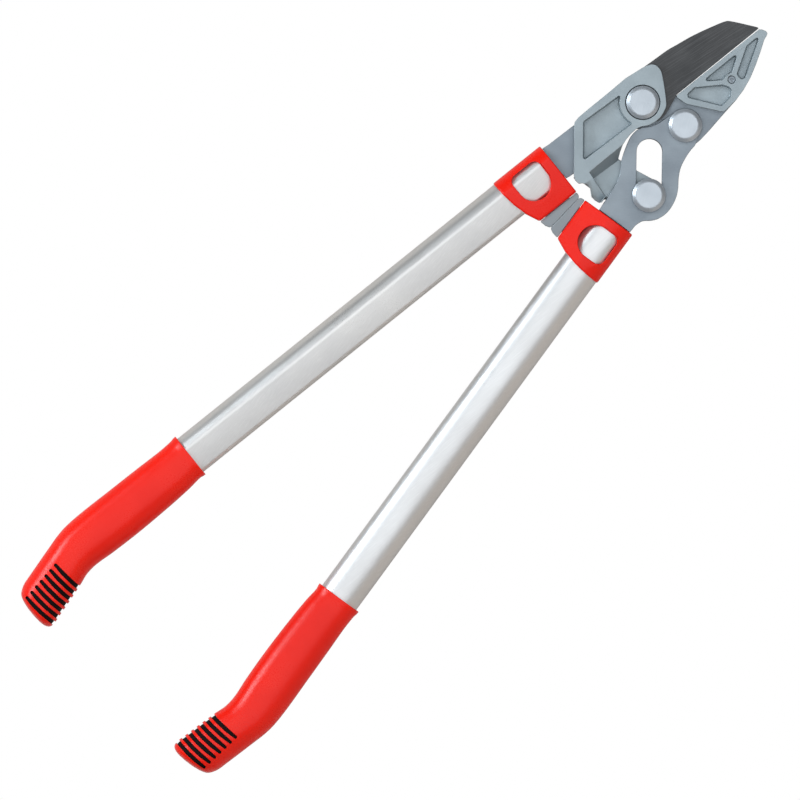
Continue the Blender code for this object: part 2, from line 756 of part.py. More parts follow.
def power_outline():
    """Slotted lever plate from the handle pivot to the right handle."""
    points = arc(HANDLE_PIVOT, 13.1, 4, 180, 16)
    points += smooth_run([(4.7, -2.2), (1.7, -9.1), (-2.3, -13.9)], 3)
    points += smooth_run([(-4.1, -18.8), (-3.9, -24.4), (-2.2, -30.0), (0.6, -36.8),
                          (3.6, -42.7), (6.2, -46.4), (9.8, -51.4), (12.5, -57.4),
                          (14.2, -64.0), (15.2, -70.0)], 2)
    points += [handle_point(14.6, 20.5, 1), handle_point(-14.3, 20.5, 1)]
    points += smooth_run([(45.7, -74.5), (45.5, -71.5), (46.0, -68.0), (47.7, -64.2),
                          (51.7, -60.0), (54.6, -55.0), (56.0, -48.3), (55.4, -41.7),
                          (53.0, -34.4), (49.2, -28.3), (44.2, -22.5), (40.0, -15.8),
                          (37.6, -8.3), (36.4, -1.7), (36.2, 3.2)], 2)
    points += [(35.4, 6.4), (33.9, 8.6)]
    return points


def root_outline():
    """Solid root of the power lever between its two plates."""
    points = [handle_point(14.2, 20.5, 1), handle_point(-13.9, 20.5, 1)]
    points += [(45.2, -74.5), (45.1, -71.5), (45.6, -67.6), (46.4, -65.4)]
    points += [(37.0, -62.8), (16.2, -74.2)]
    return points


def pierce_power_plate(plate):
    """Pivot hole and drive slot."""
    hole = SHANK_RADIUS + PIN_CLEARANCE
    cut(plate, cylinder("hole", HANDLE_PIVOT, hole, 0, 0.05))
    cut(plate, stadium(SLOT_INNER_END, DRIVE_PIN, SLOT_HALF_WIDTH, 0, 0.05))
    return plate


def make_power_lever(material):
    """Front plate, root and tang in one forging."""
    lever = prism("power", centred(power_outline()), FRONT_LOW, FRONT_HIGH, material)
    root = prism("root", centred(root_outline()), MID_LOW, FRONT_LOW + 0.002)
    w = TANG_HALF_WIDTH / MM
    tang_points = [handle_point(w, 24.0, 1), handle_point(w, TANG_BOTTOM / MM, 1)]
    tang_points += [handle_point(-w, TANG_BOTTOM / MM, 1), handle_point(-w, 24.0, 1)]
    low = MID_HEIGHT - TANG_HALF_DEPTH
    high = MID_HEIGHT + TANG_HALF_DEPTH
    join(lever, root)
    tang = prism("tang", centred(tang_points), MID_LOW + 0.0002, high)
    join(lever, tang)
    foot_points = [handle_point(w, 20.0, 1), handle_point(w, TANG_BOTTOM / MM, 1)]
    foot_points += [handle_point(-w, TANG_BOTTOM / MM, 1), handle_point(-w, 20.0, 1)]
    join(lever, prism("foot", centred(grown(foot_points, -0.05)), low, MID_HEIGHT))
    pierce_power_plate(lever)
    for t in (UPPER_RIVET, LOWER_RIVET):
        point = handle_point(0, t / MM, 1)
        radius = RIVET_RADIUS + 2 * PIN_CLEARANCE
        cut(lever, cylinder("hole", point, radius, 0, 0.05, segments=12))
    for s, t in REAR_RIVETS:
        point = handle_point(s, t, 1)
        radius = RIVET_RADIUS + PIN_CLEARANCE
        top = MID_HIGH - 0.0006
        cut(lever, cylinder("hole", point, radius, 0, top, segments=12))
    return lever


def make_rear_plate(material):
    """Rear slotted plate, riveted to the root."""
    plate = prism("rear", centred(power_outline()), REAR_LOW, REAR_HIGH, material)
    pierce_power_plate(plate)
    for s, t in REAR_RIVETS:
        point = handle_point(s, t, 1)
        radius = RIVET_RADIUS + PIN_CLEARANCE
        cut(plate, cylinder("hole", point, radius, 0, 0.05, segments=12))
    return plate


def carrier_outline():
    """Casting that carries the blade and reaches down to the drive arm."""
    points = smooth_run([(-33.4, 19.0), (-32.2, 22.2), (-30.2, 25.4), (-27.6, 27.1),
                         (-24.7, 27.4), (-20.8, 26.4), (-15.8, 23.1), (-10.1, 18.8),
                         (-3.7, 13.6), (-0.2, 10.0), (1.7, 4.8), (2.3, 0.0),
                         (1.5, -5.4), (-0.4, -10.2), (-3.4, -14.2), (-4.8, -18.5)], 2)
    points += [(-5.1, -23.6), (-4.8, -28.5), (-4.0, -33.3), (-1.4, -39.2), (1.1, -43.6)]
    points += [(8.0, -55.0), (14.0, -69.5), (14.9, -76.2), (13.6, -77.9)]
    points += [(10.0, -78.75), (6.4, -78.5), (4.2, -77.0), (1.2, -74.8), (-2.5, -74.2)]
    points += [(-5.8, -75.8), (-7.5, -78.0), (-11.6, -78.1), (-15.0, -75.8)]
    points += [(-40.4, -48.8), (-42.1, -46.4), (-42.5, -41.9), (-41.6, -33.3)]
    points += [(-39.0, -12.6), (-37.2, 4.3)]
    return list(reversed(points))


def arm_outline():
    """Flat arm in the plate's layer, out to the drive pin."""
    points = [(-13.2, -77.4), (-9.9, -46.0), (-8.2, -34.5), (-4.6, -34.0)]
    points += [(-3.9, -33.3), (-1.4, -39.2), (1.1, -43.6), (17.5, -40.2)]
    points += arc(DRIVE_PIN, 12.4, 102, -62, 12)
    points += [(24.0, -65.6), (15.2, -72.6), (13.0, -77.6)]
    points += [(6.4, -78.0), (4.2, -76.6), (1.2, -74.6), (-2.5, -74.1), (-5.8, -75.4)]
    points += [(-7.9, -77.6)]
    return list(reversed(points))


def make_step():
    """Cutter of the low pocket: a long sloping wall and a ramp at its foot."""
    floor = [(-2.2, -67.4), (13.2, -70.8), (60.0, -70.8), (60.0, -20.0), (4.2, -30.0)]
    brink = [(-7.9, -66.2), (13.2, -70.8), (60.0, -70.8), (60.0, -20.0), (-3.2, -26.0)]
    rings = []
    for outline, z in ((floor, MID_HIGH), (brink, CASTING_TOP), (brink, CASTING_TOP + 0.001)):
        rings.append([(x, y, z) for x, y in centred(outline)])
    step = loft("step", rings)
    ramp = [(-3.3, -68.0, CASTING_TOP), (-4.6, -74.5, CASTING_TOP),
            (14.2, -80.5, MID_HIGH + 0.0012), (13.6, -70.0, MID_HIGH + 0.0012)]
    low = [(x * MM, y * MM, z) for x, y, z in ramp]
    high = [(x, y, CASTING_TOP + 0.001) for x, y, z in low]
    return join(step, loft("ramp", [low, high]))


def make_carrier(material):
    """Blade carrier casting with its stepped down arm."""
    outline = centred(carrier_outline())
    carrier = prism("carrier", outline, FRONT_LOW, CASTING_TOP, material)
    arm = prism("arm", grow_mm(arm_outline(), -0.05), MID_LOW, MID_HIGH + 0.0012)
    join(carrier, arm)
    cut(carrier, make_step())
    beside = grow_mm(power_outline(), 0.5)
    cut(carrier, prism("beside", beside, MID_HIGH, CASTING_TOP + 0.002))
    rebate = grow_mm(blade_outline(), 0.35)
    cut(carrier, prism("rebate", rebate, FRONT_LOW - 0.001, FRONT_HIGH + LAYER_GAP))
    ring = HEAD_RADIUS + 0.0006
    cut(carrier, cylinder("ring", BLADE_PIVOT, ring, 0, 0.05, segments=32))
    floor = FRONT_LOW + CARRIER_POCKET_FLOOR
    pocket = arc(BLADE_PIVOT, 18.4, 284, 210, 8)
    pocket += [(-36.8, -41.5), (-17.6, -61.8)]
    shape = centred(rounded(pocket, 1.3, 2))
    cut(carrier, tapered("pocket", shape, floor, CASTING_TOP + 0.001, CASTING_DRAFT))
    hole = SHANK_RADIUS + PIN_CLEARANCE
    cut(carrier, cylinder("hole", DRIVE_PIN, hole, 0, 0.05))
    for point in DOWELS:
        radius = DOWEL_RADIUS + PIN_CLEARANCE
        top = CASTING_TOP - 0.0018
        cut(carrier, cylinder("hole", point, radius, 0, top, segments=12))
    return carrier


def make_bolt(name, centre, material):
    """Low round head with a broad chamfer, on a plain shank."""
    low = FRONT_HIGH + PIN_CLEARANCE
    high = low + HEAD_HEIGHT
    r = HEAD_RADIUS
    shank_end = NUT_LOW + 0.0024
    profile = [(0.0, shank_end), (SHANK_RADIUS - 0.0006, shank_end)]
    profile += [(SHANK_RADIUS, shank_end + 0.0006), (SHANK_RADIUS, low)]
    profile += [(r - 0.0004, low), (r, low + 0.0004), (r, high - 0.0021)]
    profile += [(r - 0.0005, high - 0.0014), (r - 0.0028, high - 0.0003)]
    profile += [(r - 0.0036, high), (0.0, high)]
    return lathe(name, profile, centre, material)


def make_nut(name, centre, material):
    """Round cap nut with two flats, closed and flat underneath."""
    low = NUT_LOW
    bore = SHANK_RADIUS + PIN_CLEARANCE
    r = NUT_RADIUS
    floor = low + 0.0020
    profile = [(0.0, low), (r - 0.0012, low), (r, low + 0.0012), (r, NUT_TOP - 0.0004)]
    profile += [(r - 0.0004, NUT_TOP), (bore, NUT_TOP), (bore, floor), (0.0, floor)]
    nut = lathe(name, profile, centre, material)
    x = centre[0] * MM
    y = centre[1] * MM
    for sign in (-1, 1):
        y0 = y + sign * 0.0085
        y1 = y + sign * 0.0120
        flat = [(x - 0.02, min(y0, y1)), (x + 0.02, min(y0, y1))]
        flat += [(x + 0.02, max(y0, y1)), (x - 0.02, max(y0, y1))]
        cut(nut, prism("flat", flat, low - 0.001, NUT_TOP + 0.001))
    return nut


def ring_piece(name, centre, outer, low, high, material, bore=None):
    """Washer, spacer or roller."""
    hole = SHANK_RADIUS + PIN_CLEARANCE if bore is None else bore
    c = 0.0003
    profile = [(hole, low), (outer - c, low), (outer, low + c)]
    profile += [(outer, high - c), (outer - c, high), (hole, high)]
    return lathe(name, profile, centre, material)


def make_anvil_screw(material):
    """Socket screw through the anvil boss into the plate."""
    high = ANVIL_TOP - 0.0004
    low = MID_LOW + 0.0004
    under = FRONT_LOW + 0.0032
    r = SCREW_HEAD_RADIUS
    shank = SCREW_SHANK_RADIUS
    profile = [(0.0, low), (shank, low), (shank, under), (r, under)]
    profile += [(r, high - 0.0003), (r - 0.0003, high), (0.0, high)]
    screw = lathe("screw", profile, ANVIL_SCREW, material, 16)
    centre = (ANVIL_SCREW[0] * MM, ANVIL_SCREW[1] * MM)
    socket = arc(centre, 0.0016, 0, 360, 6)[:-1]
    return cut(screw, prism("socket", socket, high - 0.002, high + 0.001))


def name_piece(item, name):
    """Name an object and its mesh."""
    item.name = name
    item.data.name = name
    return item


def build():
    """Make every piece and hang it on its body."""
    red = make_material("red_plastic", RED, 0.35, 0.0)
    black = make_material("black_rubber", BLACK, 0.7, 0.0)
    grey = make_material("grey_plastic", GREY_PLASTIC, 0.55, 0.0)
    casting = make_material("cast_alloy", CASTING_GREY, 0.5, 0.85)
    steel = make_material("plate_steel", STEEL, 0.42, 0.9)
    bright = make_material("bright_steel", BRIGHT_STEEL, 0.28, 1.0)
    dark = make_material("coated_blade", BLADE_DARK, 0.38, 0.2)
    tube_metal = make_material("tube_metal", TUBE_METAL, 0.3, 0.9)

    frame = make_empty("anvil_lever", (0, 0, 0), ROOT)
    blade_axis = (BLADE_PIVOT[0] * MM, BLADE_PIVOT[1] * MM, MID_HEIGHT)
    power_axis = (HANDLE_PIVOT[0] * MM, HANDLE_PIVOT[1] * MM, MID_HEIGHT)
    pin_axis = (DRIVE_PIN[0] * MM, DRIVE_PIN[1] * MM, MID_HEIGHT)
    blade_body = make_empty("blade_lever", blade_axis, ROOT)
    power_body = make_empty("power_lever_body", power_axis, ROOT)
    offset = Vector(pin_axis) - Vector(blade_axis)
    roller_body = make_empty("drive_roller_axis", offset, blade_body)

    settle(name_piece(make_lever_plate(steel), "anvil_lever_plate"), frame)
    settle(name_piece(make_anvil(casting), "anvil"), frame)
    settle(name_piece(make_anvil_screw(bright), "anvil_screw"), frame)
    pin = cylinder("pin", ANVIL_DOWEL, ANVIL_DOWEL_RADIUS, MID_LOW + 0.0013,
                   FRONT_LOW + 0.0059, bright, 12)
    settle(name_piece(pin, "anvil_dowel"), frame)

    for name, centre in (("blade_pivot", BLADE_PIVOT), ("handle_pivot", HANDLE_PIVOT)):
        settle(name_piece(make_bolt("bolt", centre, bright), name + "_bolt"), frame)
        settle(name_piece(make_nut("nut", centre, steel), name + "_nut"), frame)
        washer = ring_piece("w", centre, WASHER_RADIUS, WASHER_LOW, WASHER_TOP, bright)
        settle(name_piece(washer, name + "_washer"), frame)
    spacer = ring_piece("s", BLADE_PIVOT, SPACER_RADIUS, REAR_LOW, REAR_HIGH, steel)
    settle(name_piece(spacer, "blade_pivot_spacer"), frame)

    settle(name_piece(make_blade(dark), "blade"), blade_body)
    settle(name_piece(make_carrier(casting), "blade_carrier"), blade_body)
    for index, point in enumerate(DOWELS):
        dowel = cylinder("d", point, DOWEL_RADIUS, FRONT_LOW + 0.0003, CASTING_TOP - 0.0021,
                         bright, 12)
        label = "blade_dowel_" + ("outer", "inner")[index]
        settle(name_piece(dowel, label), blade_body)
    settle(name_piece(make_bolt("bolt", DRIVE_PIN, bright), "drive_pin"), blade_body)
    settle(name_piece(make_nut("nut", DRIVE_PIN, steel), "drive_pin_nut"), blade_body)
    washer = ring_piece("w", DRIVE_PIN, WASHER_RADIUS, WASHER_LOW, WASHER_TOP, bright)
    settle(name_piece(washer, "drive_pin_washer"), blade_body)
    rear = ring_piece("r", DRIVE_PIN, ROLLER_RADIUS, REAR_LOW, REAR_HIGH, steel)
    settle(name_piece(rear, "drive_pin_rear_bush"), blade_body)
    roller = ring_piece("r", DRIVE_PIN, ROLLER_RADIUS, FRONT_LOW, FRONT_HIGH, bright,
                        ROLLER_BORE)
    settle(name_piece(roller, "drive_roller"), roller_body)

    settle(name_piece(make_power_lever(steel), "power_lever"), power_body)
    settle(name_piece(make_rear_plate(steel), "power_lever_rear_plate"),
           power_body)
    for index, (s, t) in enumerate(REAR_RIVETS):
        rivet = cylinder("r", handle_point(s, t, 1), RIVET_RADIUS, REAR_LOW - 0.0003,
                         MID_HIGH - 0.0009, bright, 12)
        label = "rear_plate_rivet_" + ("inner", "outer")[index]
        settle(name_piece(rivet, label), power_body)

    tube = make_tube(tube_metal)
    collar = make_collar(red)
    block = make_stop_block(grey)
    grip = make_grip(red)
    core = make_core(black)
    upper = make_rivet("upper", UPPER_RIVET, bright)
    lower = make_rivet("lower", LOWER_RIVET, bright)
    left_insert = make_insert("left", LEFT_TANG * MM, PLATE_THICKNESS / 2, grey)
    right_insert = make_insert("right", TANG_HALF_WIDTH, TANG_HALF_DEPTH, grey)
    shared = (("tube", tube), ("collar", collar), ("stop_block", block), ("grip", grip),
              ("grip_core", core), ("upper_rivet", upper), ("lower_rivet", lower))
    for side, body, prefix in ((-1, frame, "left_"), (1, power_body, "right_")):
        for label, source in shared:
            item = bpy.data.objects.new(prefix + label, source.data)
            bpy.context.scene.collection.objects.link(item)
            settle(item, body, handle_matrix(side))
        insert = left_insert if side < 0 else right_insert
        insert.name = prefix + "tube_insert"
        settle(insert, body, handle_matrix(side))
    for label, source in shared:
        bpy.data.objects.remove(source, do_unlink=True)
    for prefix in ("left_", "right_"):
        soften(bpy.data.objects[prefix + "stop_block"], 0.0006)


def centre_on_origin():
    """Move the root so the whole tool is centred front to back."""
    bpy.context.view_layer.update()
    depsgraph = bpy.context.evaluated_depsgraph_get()
    ys = []
    for item in bpy.data.objects:
        if item.type == "MESH":
            mesh = item.evaluated_get(depsgraph).to_mesh()
            world = item.matrix_world
            ys += [(world @ vertex.co).y for vertex in mesh.vertices]
    ROOT.location.y = -(min(ys) + max(ys)) / 2
    bpy.context.view_layer.update()
    print("centre shift", ROOT.location.y)


clear_scene()
ROOT = make_empty("pruning_shears", (0, 0, 0), None)
build()
centre_on_origin()
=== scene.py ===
"""Looks of the long handled anvil lopper, as an add-on.

Every visible piece is rebuilt finely on its CAD piece, in the row frame, and gets a
procedural material.  The operators are called in order by main().
"""
import json
import math

import bmesh
import bpy
from bpy.props import FloatProperty, IntProperty, PointerProperty
from mathutils import Matrix, Vector


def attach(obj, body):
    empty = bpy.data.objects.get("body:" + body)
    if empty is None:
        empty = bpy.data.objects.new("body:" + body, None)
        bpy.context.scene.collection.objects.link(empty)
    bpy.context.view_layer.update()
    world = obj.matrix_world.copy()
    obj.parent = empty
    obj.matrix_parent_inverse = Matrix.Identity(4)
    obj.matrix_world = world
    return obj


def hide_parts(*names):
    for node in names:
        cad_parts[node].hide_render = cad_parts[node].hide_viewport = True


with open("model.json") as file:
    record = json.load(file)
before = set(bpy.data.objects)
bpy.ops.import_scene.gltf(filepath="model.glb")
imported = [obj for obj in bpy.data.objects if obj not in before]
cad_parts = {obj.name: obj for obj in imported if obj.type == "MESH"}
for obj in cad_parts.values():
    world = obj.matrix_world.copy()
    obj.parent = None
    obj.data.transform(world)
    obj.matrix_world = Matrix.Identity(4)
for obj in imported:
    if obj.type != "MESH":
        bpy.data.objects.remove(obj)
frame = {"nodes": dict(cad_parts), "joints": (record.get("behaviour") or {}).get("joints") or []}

bl_info = {
    "name": "Anvil Lopper Looks",
    "version": (1, 0, 0),
    "blender": (4, 5, 0),
    "location": "View3D > Sidebar > Lopper",
    "description": "Fine meshes and procedural materials for a long handled anvil lopper",
    "category": "Object",
}

MM = 0.001
FINE = 3

TUBE_WIDTH = 0.032
TUBE_DEPTH = 0.021
TUBE_WALL = 0.0015
TUBE_TOP = 0.019
TUBE_END = -0.444
HANDLE_TILT = math.radians(7.52)
HANDLE_AXIS_X = -0.0345
HANDLE_AXIS_Y = -0.100
GRIP_LENGTH = 0.1687
GRIP_END = -0.5022
PLATE_THICKNESS = 0.006
BLADE_THICKNESS = 0.005
LAYER_GAP = 0.0003
CASTING_RISE = 0.0047
MID_HEIGHT = 0.0165
HEAD_RADIUS = 0.0127
HEAD_HEIGHT = 0.0062
SHANK_RADIUS = 0.005
PIN_CLEARANCE = 0.0002
SLOT_HALF_WIDTH = 0.00977
ROLLER_RADIUS = 0.0074
ROLLER_BORE = 0.0053
NUT_HEIGHT = 0.0063
WASHER_THICKNESS = 0.0015
RIVET_RADIUS = 0.0025
TANG_HALF_WIDTH = TUBE_WIDTH * 0.344
TANG_HALF_DEPTH = 0.005
TANG_BOTTOM = -0.028
GROOVE_COUNT = 7
GROOVE_PITCH = 0.0054
GROOVE_WIDTH = 0.0033
GROOVE_START = 0.03713
SHELL_WALL = 0.0010
DRAWN_WIDTH = 0.032
DRAWN_DEPTH = 0.021
DRAWN_GRIP = 168.7
CUT_TOP = 0.05
ANVIL_RISE = 0.0042
NUT_RADIUS = 0.0098
WASHER_RADIUS = 0.0112
SPACER_RADIUS = 0.0125
BOSS_RADIUS = 0.0049
SCREW_HEAD_RADIUS = 0.00275
SCREW_SHANK_RADIUS = 0.0019
ANVIL_DOWEL_BORE = 0.0022
ANVIL_POCKET_FLOOR = 0.003
CARRIER_POCKET_FLOOR = 0.0028
COLLAR_TOP = 0.0202
STOP_GAP = 0.00002
GRIP_SEGMENTS = 64

# Pivots in the drawing, millimetres from the point level with the blade pivot.
BLADE_PIVOT = (-15.1, 0.0)
HANDLE_PIVOT = (20.15, 9.6)
DRIVE_PIN = (36.9, -47.7)
SLOT_INNER_END = (14.4, -23.4)

# Heights of the layers, metres above the rest plane.
MID_LOW = MID_HEIGHT - PLATE_THICKNESS / 2
MID_HIGH = MID_HEIGHT + PLATE_THICKNESS / 2
FRONT_LOW = MID_HIGH + LAYER_GAP
FRONT_HIGH = FRONT_LOW + BLADE_THICKNESS
REAR_HIGH = MID_LOW - LAYER_GAP
REAR_LOW = REAR_HIGH - BLADE_THICKNESS
CASTING_TOP = FRONT_HIGH + CASTING_RISE
ANVIL_TOP = FRONT_HIGH + ANVIL_RISE
WASHER_TOP = REAR_LOW - PIN_CLEARANCE
WASHER_LOW = WASHER_TOP - WASHER_THICKNESS
NUT_TOP = WASHER_LOW - PIN_CLEARANCE
NUT_LOW = NUT_TOP - NUT_HEIGHT

# Places in the drawing, and rivets along a handle.
BLADE_EDGE = [(9.65, 101.2), (-0.55, 22.0)]
ANVIL_SCREW = (21.7, 59.0)
ANVIL_DOWEL = (4.3, 38.5)
LEFT_TANG = 11.6
UPPER_RIVET = 0.0155
LOWER_RIVET = -0.0195
REAR_RIVETS = [(7.0, 27.0), (-7.0, 28.5)]

# Grip: station, outer edge, inner edge and half depth, millimetres.
GRIP_STATIONS = [
    (0.0, -18.3, 18.5, 13.6),
    (-1.2, -18.6, 18.8, 13.9),
    (-3.5, -17.7, 17.9, 13.2),
    (-16.5, -17.0, 19.3, 13.9),
    (-36.5, -17.35, 20.4, 14.7),
    (-66.5, -17.65, 21.1, 15.3),
    (-91.5, -17.9, 20.7, 15.7),
    (-107.5, -17.2, 19.9, 15.9),
    (-117.5, -15.4, 21.1, 16.1),
    (-125.5, -13.1, 24.0, 16.25),
    (-141.5, -8.4, 29.2, 16.4),
    (-151.5, -5.4, 32.1, 16.45),
    (-159.5, -2.9, 34.6, 16.5),
    (-164.0, -0.2, 34.7, 16.0),
    (-166.7, 2.8, 32.2, 14.4),
    (-168.1, 7.4, 27.6, 11.0),
    (-168.7, 12.5, 22.0, 6.0),
]

# Handles, turned pieces and the camera.
SIDES = ((-1, "left_", "anvil_lever"), (1, "right_", "power_lever"))

PIVOTS = (
    (BLADE_PIVOT, "blade_pivot_bolt", "blade_pivot_nut", "blade_pivot_washer",
     "anvil_lever"),
    (HANDLE_PIVOT, "handle_pivot_bolt", "handle_pivot_nut", "handle_pivot_washer",
     "anvil_lever"),
    (DRIVE_PIN, "drive_pin", "drive_pin_nut", "drive_pin_washer", "blade_lever"),
)

RINGS = (
    ("blade_pivot_washer", BLADE_PIVOT, WASHER_RADIUS, WASHER_LOW, WASHER_TOP, "anvil_lever"),
    ("handle_pivot_washer", HANDLE_PIVOT, WASHER_RADIUS, WASHER_LOW, WASHER_TOP, "anvil_lever"),
    ("drive_pin_washer", DRIVE_PIN, WASHER_RADIUS, WASHER_LOW, WASHER_TOP, "blade_lever"),
    ("blade_pivot_spacer", BLADE_PIVOT, SPACER_RADIUS, REAR_LOW, REAR_HIGH, "anvil_lever"),
    ("drive_pin_rear_bush", DRIVE_PIN, ROLLER_RADIUS, REAR_LOW, REAR_HIGH, "blade_lever"),
    ("drive_roller", DRIVE_PIN, ROLLER_RADIUS, FRONT_LOW, FRONT_HIGH, "drive_roller"),
)

CAMERA_HEIGHT = 12.0
CAMERA_ROLL = math.radians(43.72)
FRAMED_WIDTH = 0.608
FRAMED_CENTRE = (0.0078, -0.2903)

BLADE_JOINT = next(j for j in frame["joints"] if j["name"] == "blade_pivot")
DRAWING_SHIFT = BLADE_JOINT["pos_m"][1] - BLADE_PIVOT[1] * MM


def make_object(name, bm):
    """Turn a bmesh into an object of its own."""
    bmesh.ops.recalc_face_normals(bm, faces=bm.faces)
    mesh = bpy.data.meshes.new(name)
    bm.to_mesh(mesh)
    bm.free()
    item = bpy.data.objects.new(name, mesh)
    bpy.context.scene.collection.objects.link(item)
    return item


def centred(points):
    """Drawing points in millimetres to metres."""
    return [(x * MM, y * MM) for x, y in points]


def smooth_run(points, steps):
    """Catmull-Rom curve through the points, end points kept."""
    result = []
    steps = steps * FINE
    last = len(points) - 1
    for i in range(last):
        p0 = Vector(points[max(i - 1, 0)])
        p1 = Vector(points[i])
        p2 = Vector(points[i + 1])
        p3 = Vector(points[min(i + 2, last)])
        for k in range(steps):
            t = k / steps
            a = 2 * p1 + (p2 - p0) * t
            b = (2 * p0 - 5 * p1 + 4 * p2 - p3) * t * t
            c = (3 * p1 - p0 - 3 * p2 + p3) * t * t * t
            result.append(tuple((a + b + c) * 0.5))
    result.append(tuple(points[last]))
    return result


def rounded(points, radius, steps=6):
    """Polygon with every corner rounded by the radius, as far as its sides allow."""
    result = []
    count = len(points)
    for i in range(count):
        before = Vector(points[i - 1])
        here = Vector(points[i])
        after = Vector(points[(i + 1) % count])
        to_before = (before - here)
        to_after = (after - here)
        reach = min(to_before.length, to_after.length) * 0.45
        angle = to_before.angle(to_after)
        if angle > math.radians(165):
            result.append(tuple(here))
            continue
        cut = min(radius / math.tan(angle / 2), reach)
        start = here + to_before.normalized() * cut
        end = here + to_after.normalized() * cut
        for k in range(steps + 1):
            t = k / steps
            point = start * (1 - t) ** 2 + here * 2 * t * (1 - t) + end * t * t
            result.append(tuple(point))
    return result


def arc(centre, radius, start, end, steps, fine=FINE):
    """Points on an arc, angles in degrees."""
    points = []
    steps = steps * fine
    for k in range(steps + 1):
        angle = math.radians(start + (end - start) * k / steps)
        x = centre[0] + radius * math.cos(angle)
        y = centre[1] + radius * math.sin(angle)
        points.append((x, y))
    return points


def grown(points, distance):
    """Closed outline moved outwards by a distance; a negative one shrinks it."""
    count = len(points)
    area = 0.0
    for i in range(count):
        x0, y0 = points[i - 1]
        x1, y1 = points[i]
        area += x0 * y1 - x1 * y0
    side = 1.0 if area > 0 else -1.0
    result = []
    for i in range(count):
        here = Vector(points[i])
        first = (here - Vector(points[i - 1])).normalized()
        second = (Vector(points[(i + 1) % count]) - here).normalized()
        n1 = Vector((first.y, -first.x)) * side
        n2 = Vector((second.y, -second.x)) * side
        total = n1 + n2
        scale = distance / max(1.0 + n1.dot(n2), 0.35)
        result.append(tuple(here + total * scale))
    return result


def prism(name, outline, low, high, spread=0.0):
    """Upright prism on an outline in metres; its top is grown by the spread."""
    above = grown(outline, spread) if spread else outline
    bm = bmesh.new()
    bottom = [bm.verts.new((x, y, low)) for x, y in outline]
    top = [bm.verts.new((x, y, high)) for x, y in above]
    count = len(outline)
    bm.faces.new(list(reversed(bottom)))
    bm.faces.new(top)
    for i in range(count):
        j = (i + 1) % count
        bm.faces.new((bottom[i], bottom[j], top[j], top[i]))
    return make_object(name, bm)


def loft(name, rings):
    """Closed solid through rings of equal length, flat caps on both ends."""
    bm = bmesh.new()
    made = [[bm.verts.new(point) for point in ring] for ring in rings]
    count = len(rings[0])
    for lower, upper in zip(made, made[1:]):
        for i in range(count):
            j = (i + 1) % count
            bm.faces.new((lower[i], lower[j], upper[j], upper[i]))
    bm.faces.new(made[0])
    bm.faces.new(made[-1])
    return make_object(name, bm)


def lathe(name, profile, centre, segments=96):
    """Turned piece; the profile runs from axis to axis, or closes on itself."""
    bm = bmesh.new()
    on_axis = profile[0][0] == 0.0
    inner = profile[1:-1] if on_axis else profile
    rings = []
    for radius, z in inner:
        ring = []
        for k in range(segments):
            angle = 2 * math.pi * k / segments
            x = centre[0] * MM + radius * math.cos(angle)
            y = centre[1] * MM + radius * math.sin(angle)
            ring.append(bm.verts.new((x, y, z)))
        rings.append(ring)
    pairs = list(zip(rings, rings[1:]))
    if not on_axis:
        pairs.append((rings[-1], rings[0]))
    for lower, upper in pairs:
        for k in range(segments):
            m = (k + 1) % segments
            bm.faces.new((lower[k], lower[m], upper[m], upper[k]))
    if on_axis:
        bm.faces.new(rings[0])
        bm.faces.new(rings[-1])
    return make_object(name, bm)


def cylinder(name, centre, radius, low, high, segments=24):
    """Upright cylinder; the centre is in drawing millimetres."""
    outline = arc((centre[0] * MM, centre[1] * MM), radius, 0, 360, segments)[:-1]
    return prism(name, outline, low, high)


def combine(target, tool, operation):
    """Boolean the tool into the target and keep the result as its mesh."""
    modifier = target.modifiers.new(operation, "BOOLEAN")
    modifier.operation = operation
    modifier.solver = "EXACT"
    modifier.object = tool
    bpy.context.view_layer.update()
    depsgraph = bpy.context.evaluated_depsgraph_get()
    mesh = bpy.data.meshes.new_from_object(target.evaluated_get(depsgraph))
    target.modifiers.clear()
    bpy.data.objects.remove(tool, do_unlink=True)
    bm = bmesh.new()
    bm.from_mesh(mesh)
    bmesh.ops.remove_doubles(bm, verts=bm.verts, dist=0.00002)
    bm.to_mesh(mesh)
    bm.free()
    target.data = mesh
    return target


def cut(target, *tools):
    """Take every tool out of the target."""
    for tool in tools:
        combine(target, tool, "DIFFERENCE")
    return target


def join(target, *tools):
    """Add every tool to the target."""
    for tool in tools:
        combine(target, tool, "UNION")
    return target


def handle_point(s, t, side=-1):
    """Drawing millimetres of a point across (s) and along (t) a handle."""
    x = HANDLE_AXIS_X / MM + s * math.cos(HANDLE_TILT) + t * math.sin(HANDLE_TILT)
    y = HANDLE_AXIS_Y / MM - s * math.sin(HANDLE_TILT) + t * math.cos(HANDLE_TILT)
    return (x, y) if side < 0 else (-x, y)


def handle_matrix(side):
    """Placement of a handle piece: the right one is the left one turned over."""
    place = Matrix.Translation((HANDLE_AXIS_X, HANDLE_AXIS_Y, MID_HEIGHT))
    left = place @ Matrix.Rotation(-HANDLE_TILT, 4, "Z")
    if side < 0:
        return left
    centre = Matrix.Translation((0, 0, MID_HEIGHT))
    turn = centre @ Matrix.Rotation(math.pi, 4, "Y") @ centre.inverted()
    return turn @ left


def tube_section(offset=0.0):
    """Handle tube outline across: curved band, crease, sloping flat, oval back."""
    points = arc((0, 0), 1.0, 180, 360, 16)
    points += [(0.975, 0.30), (0.915, 0.50), (0.82, 0.63)]
    points += [(-0.27, 0.98), (-0.344, 1.0), (-0.43, 0.975)]
    points += [(-0.60, 0.87), (-0.77, 0.68), (-0.91, 0.41), (-0.98, 0.18)]
    half_width = TUBE_WIDTH / 2
    half_depth = TUBE_DEPTH / 2
    scaled = [(x * half_width, z * half_depth) for x, z in points]
    return grown(scaled, offset) if offset else scaled


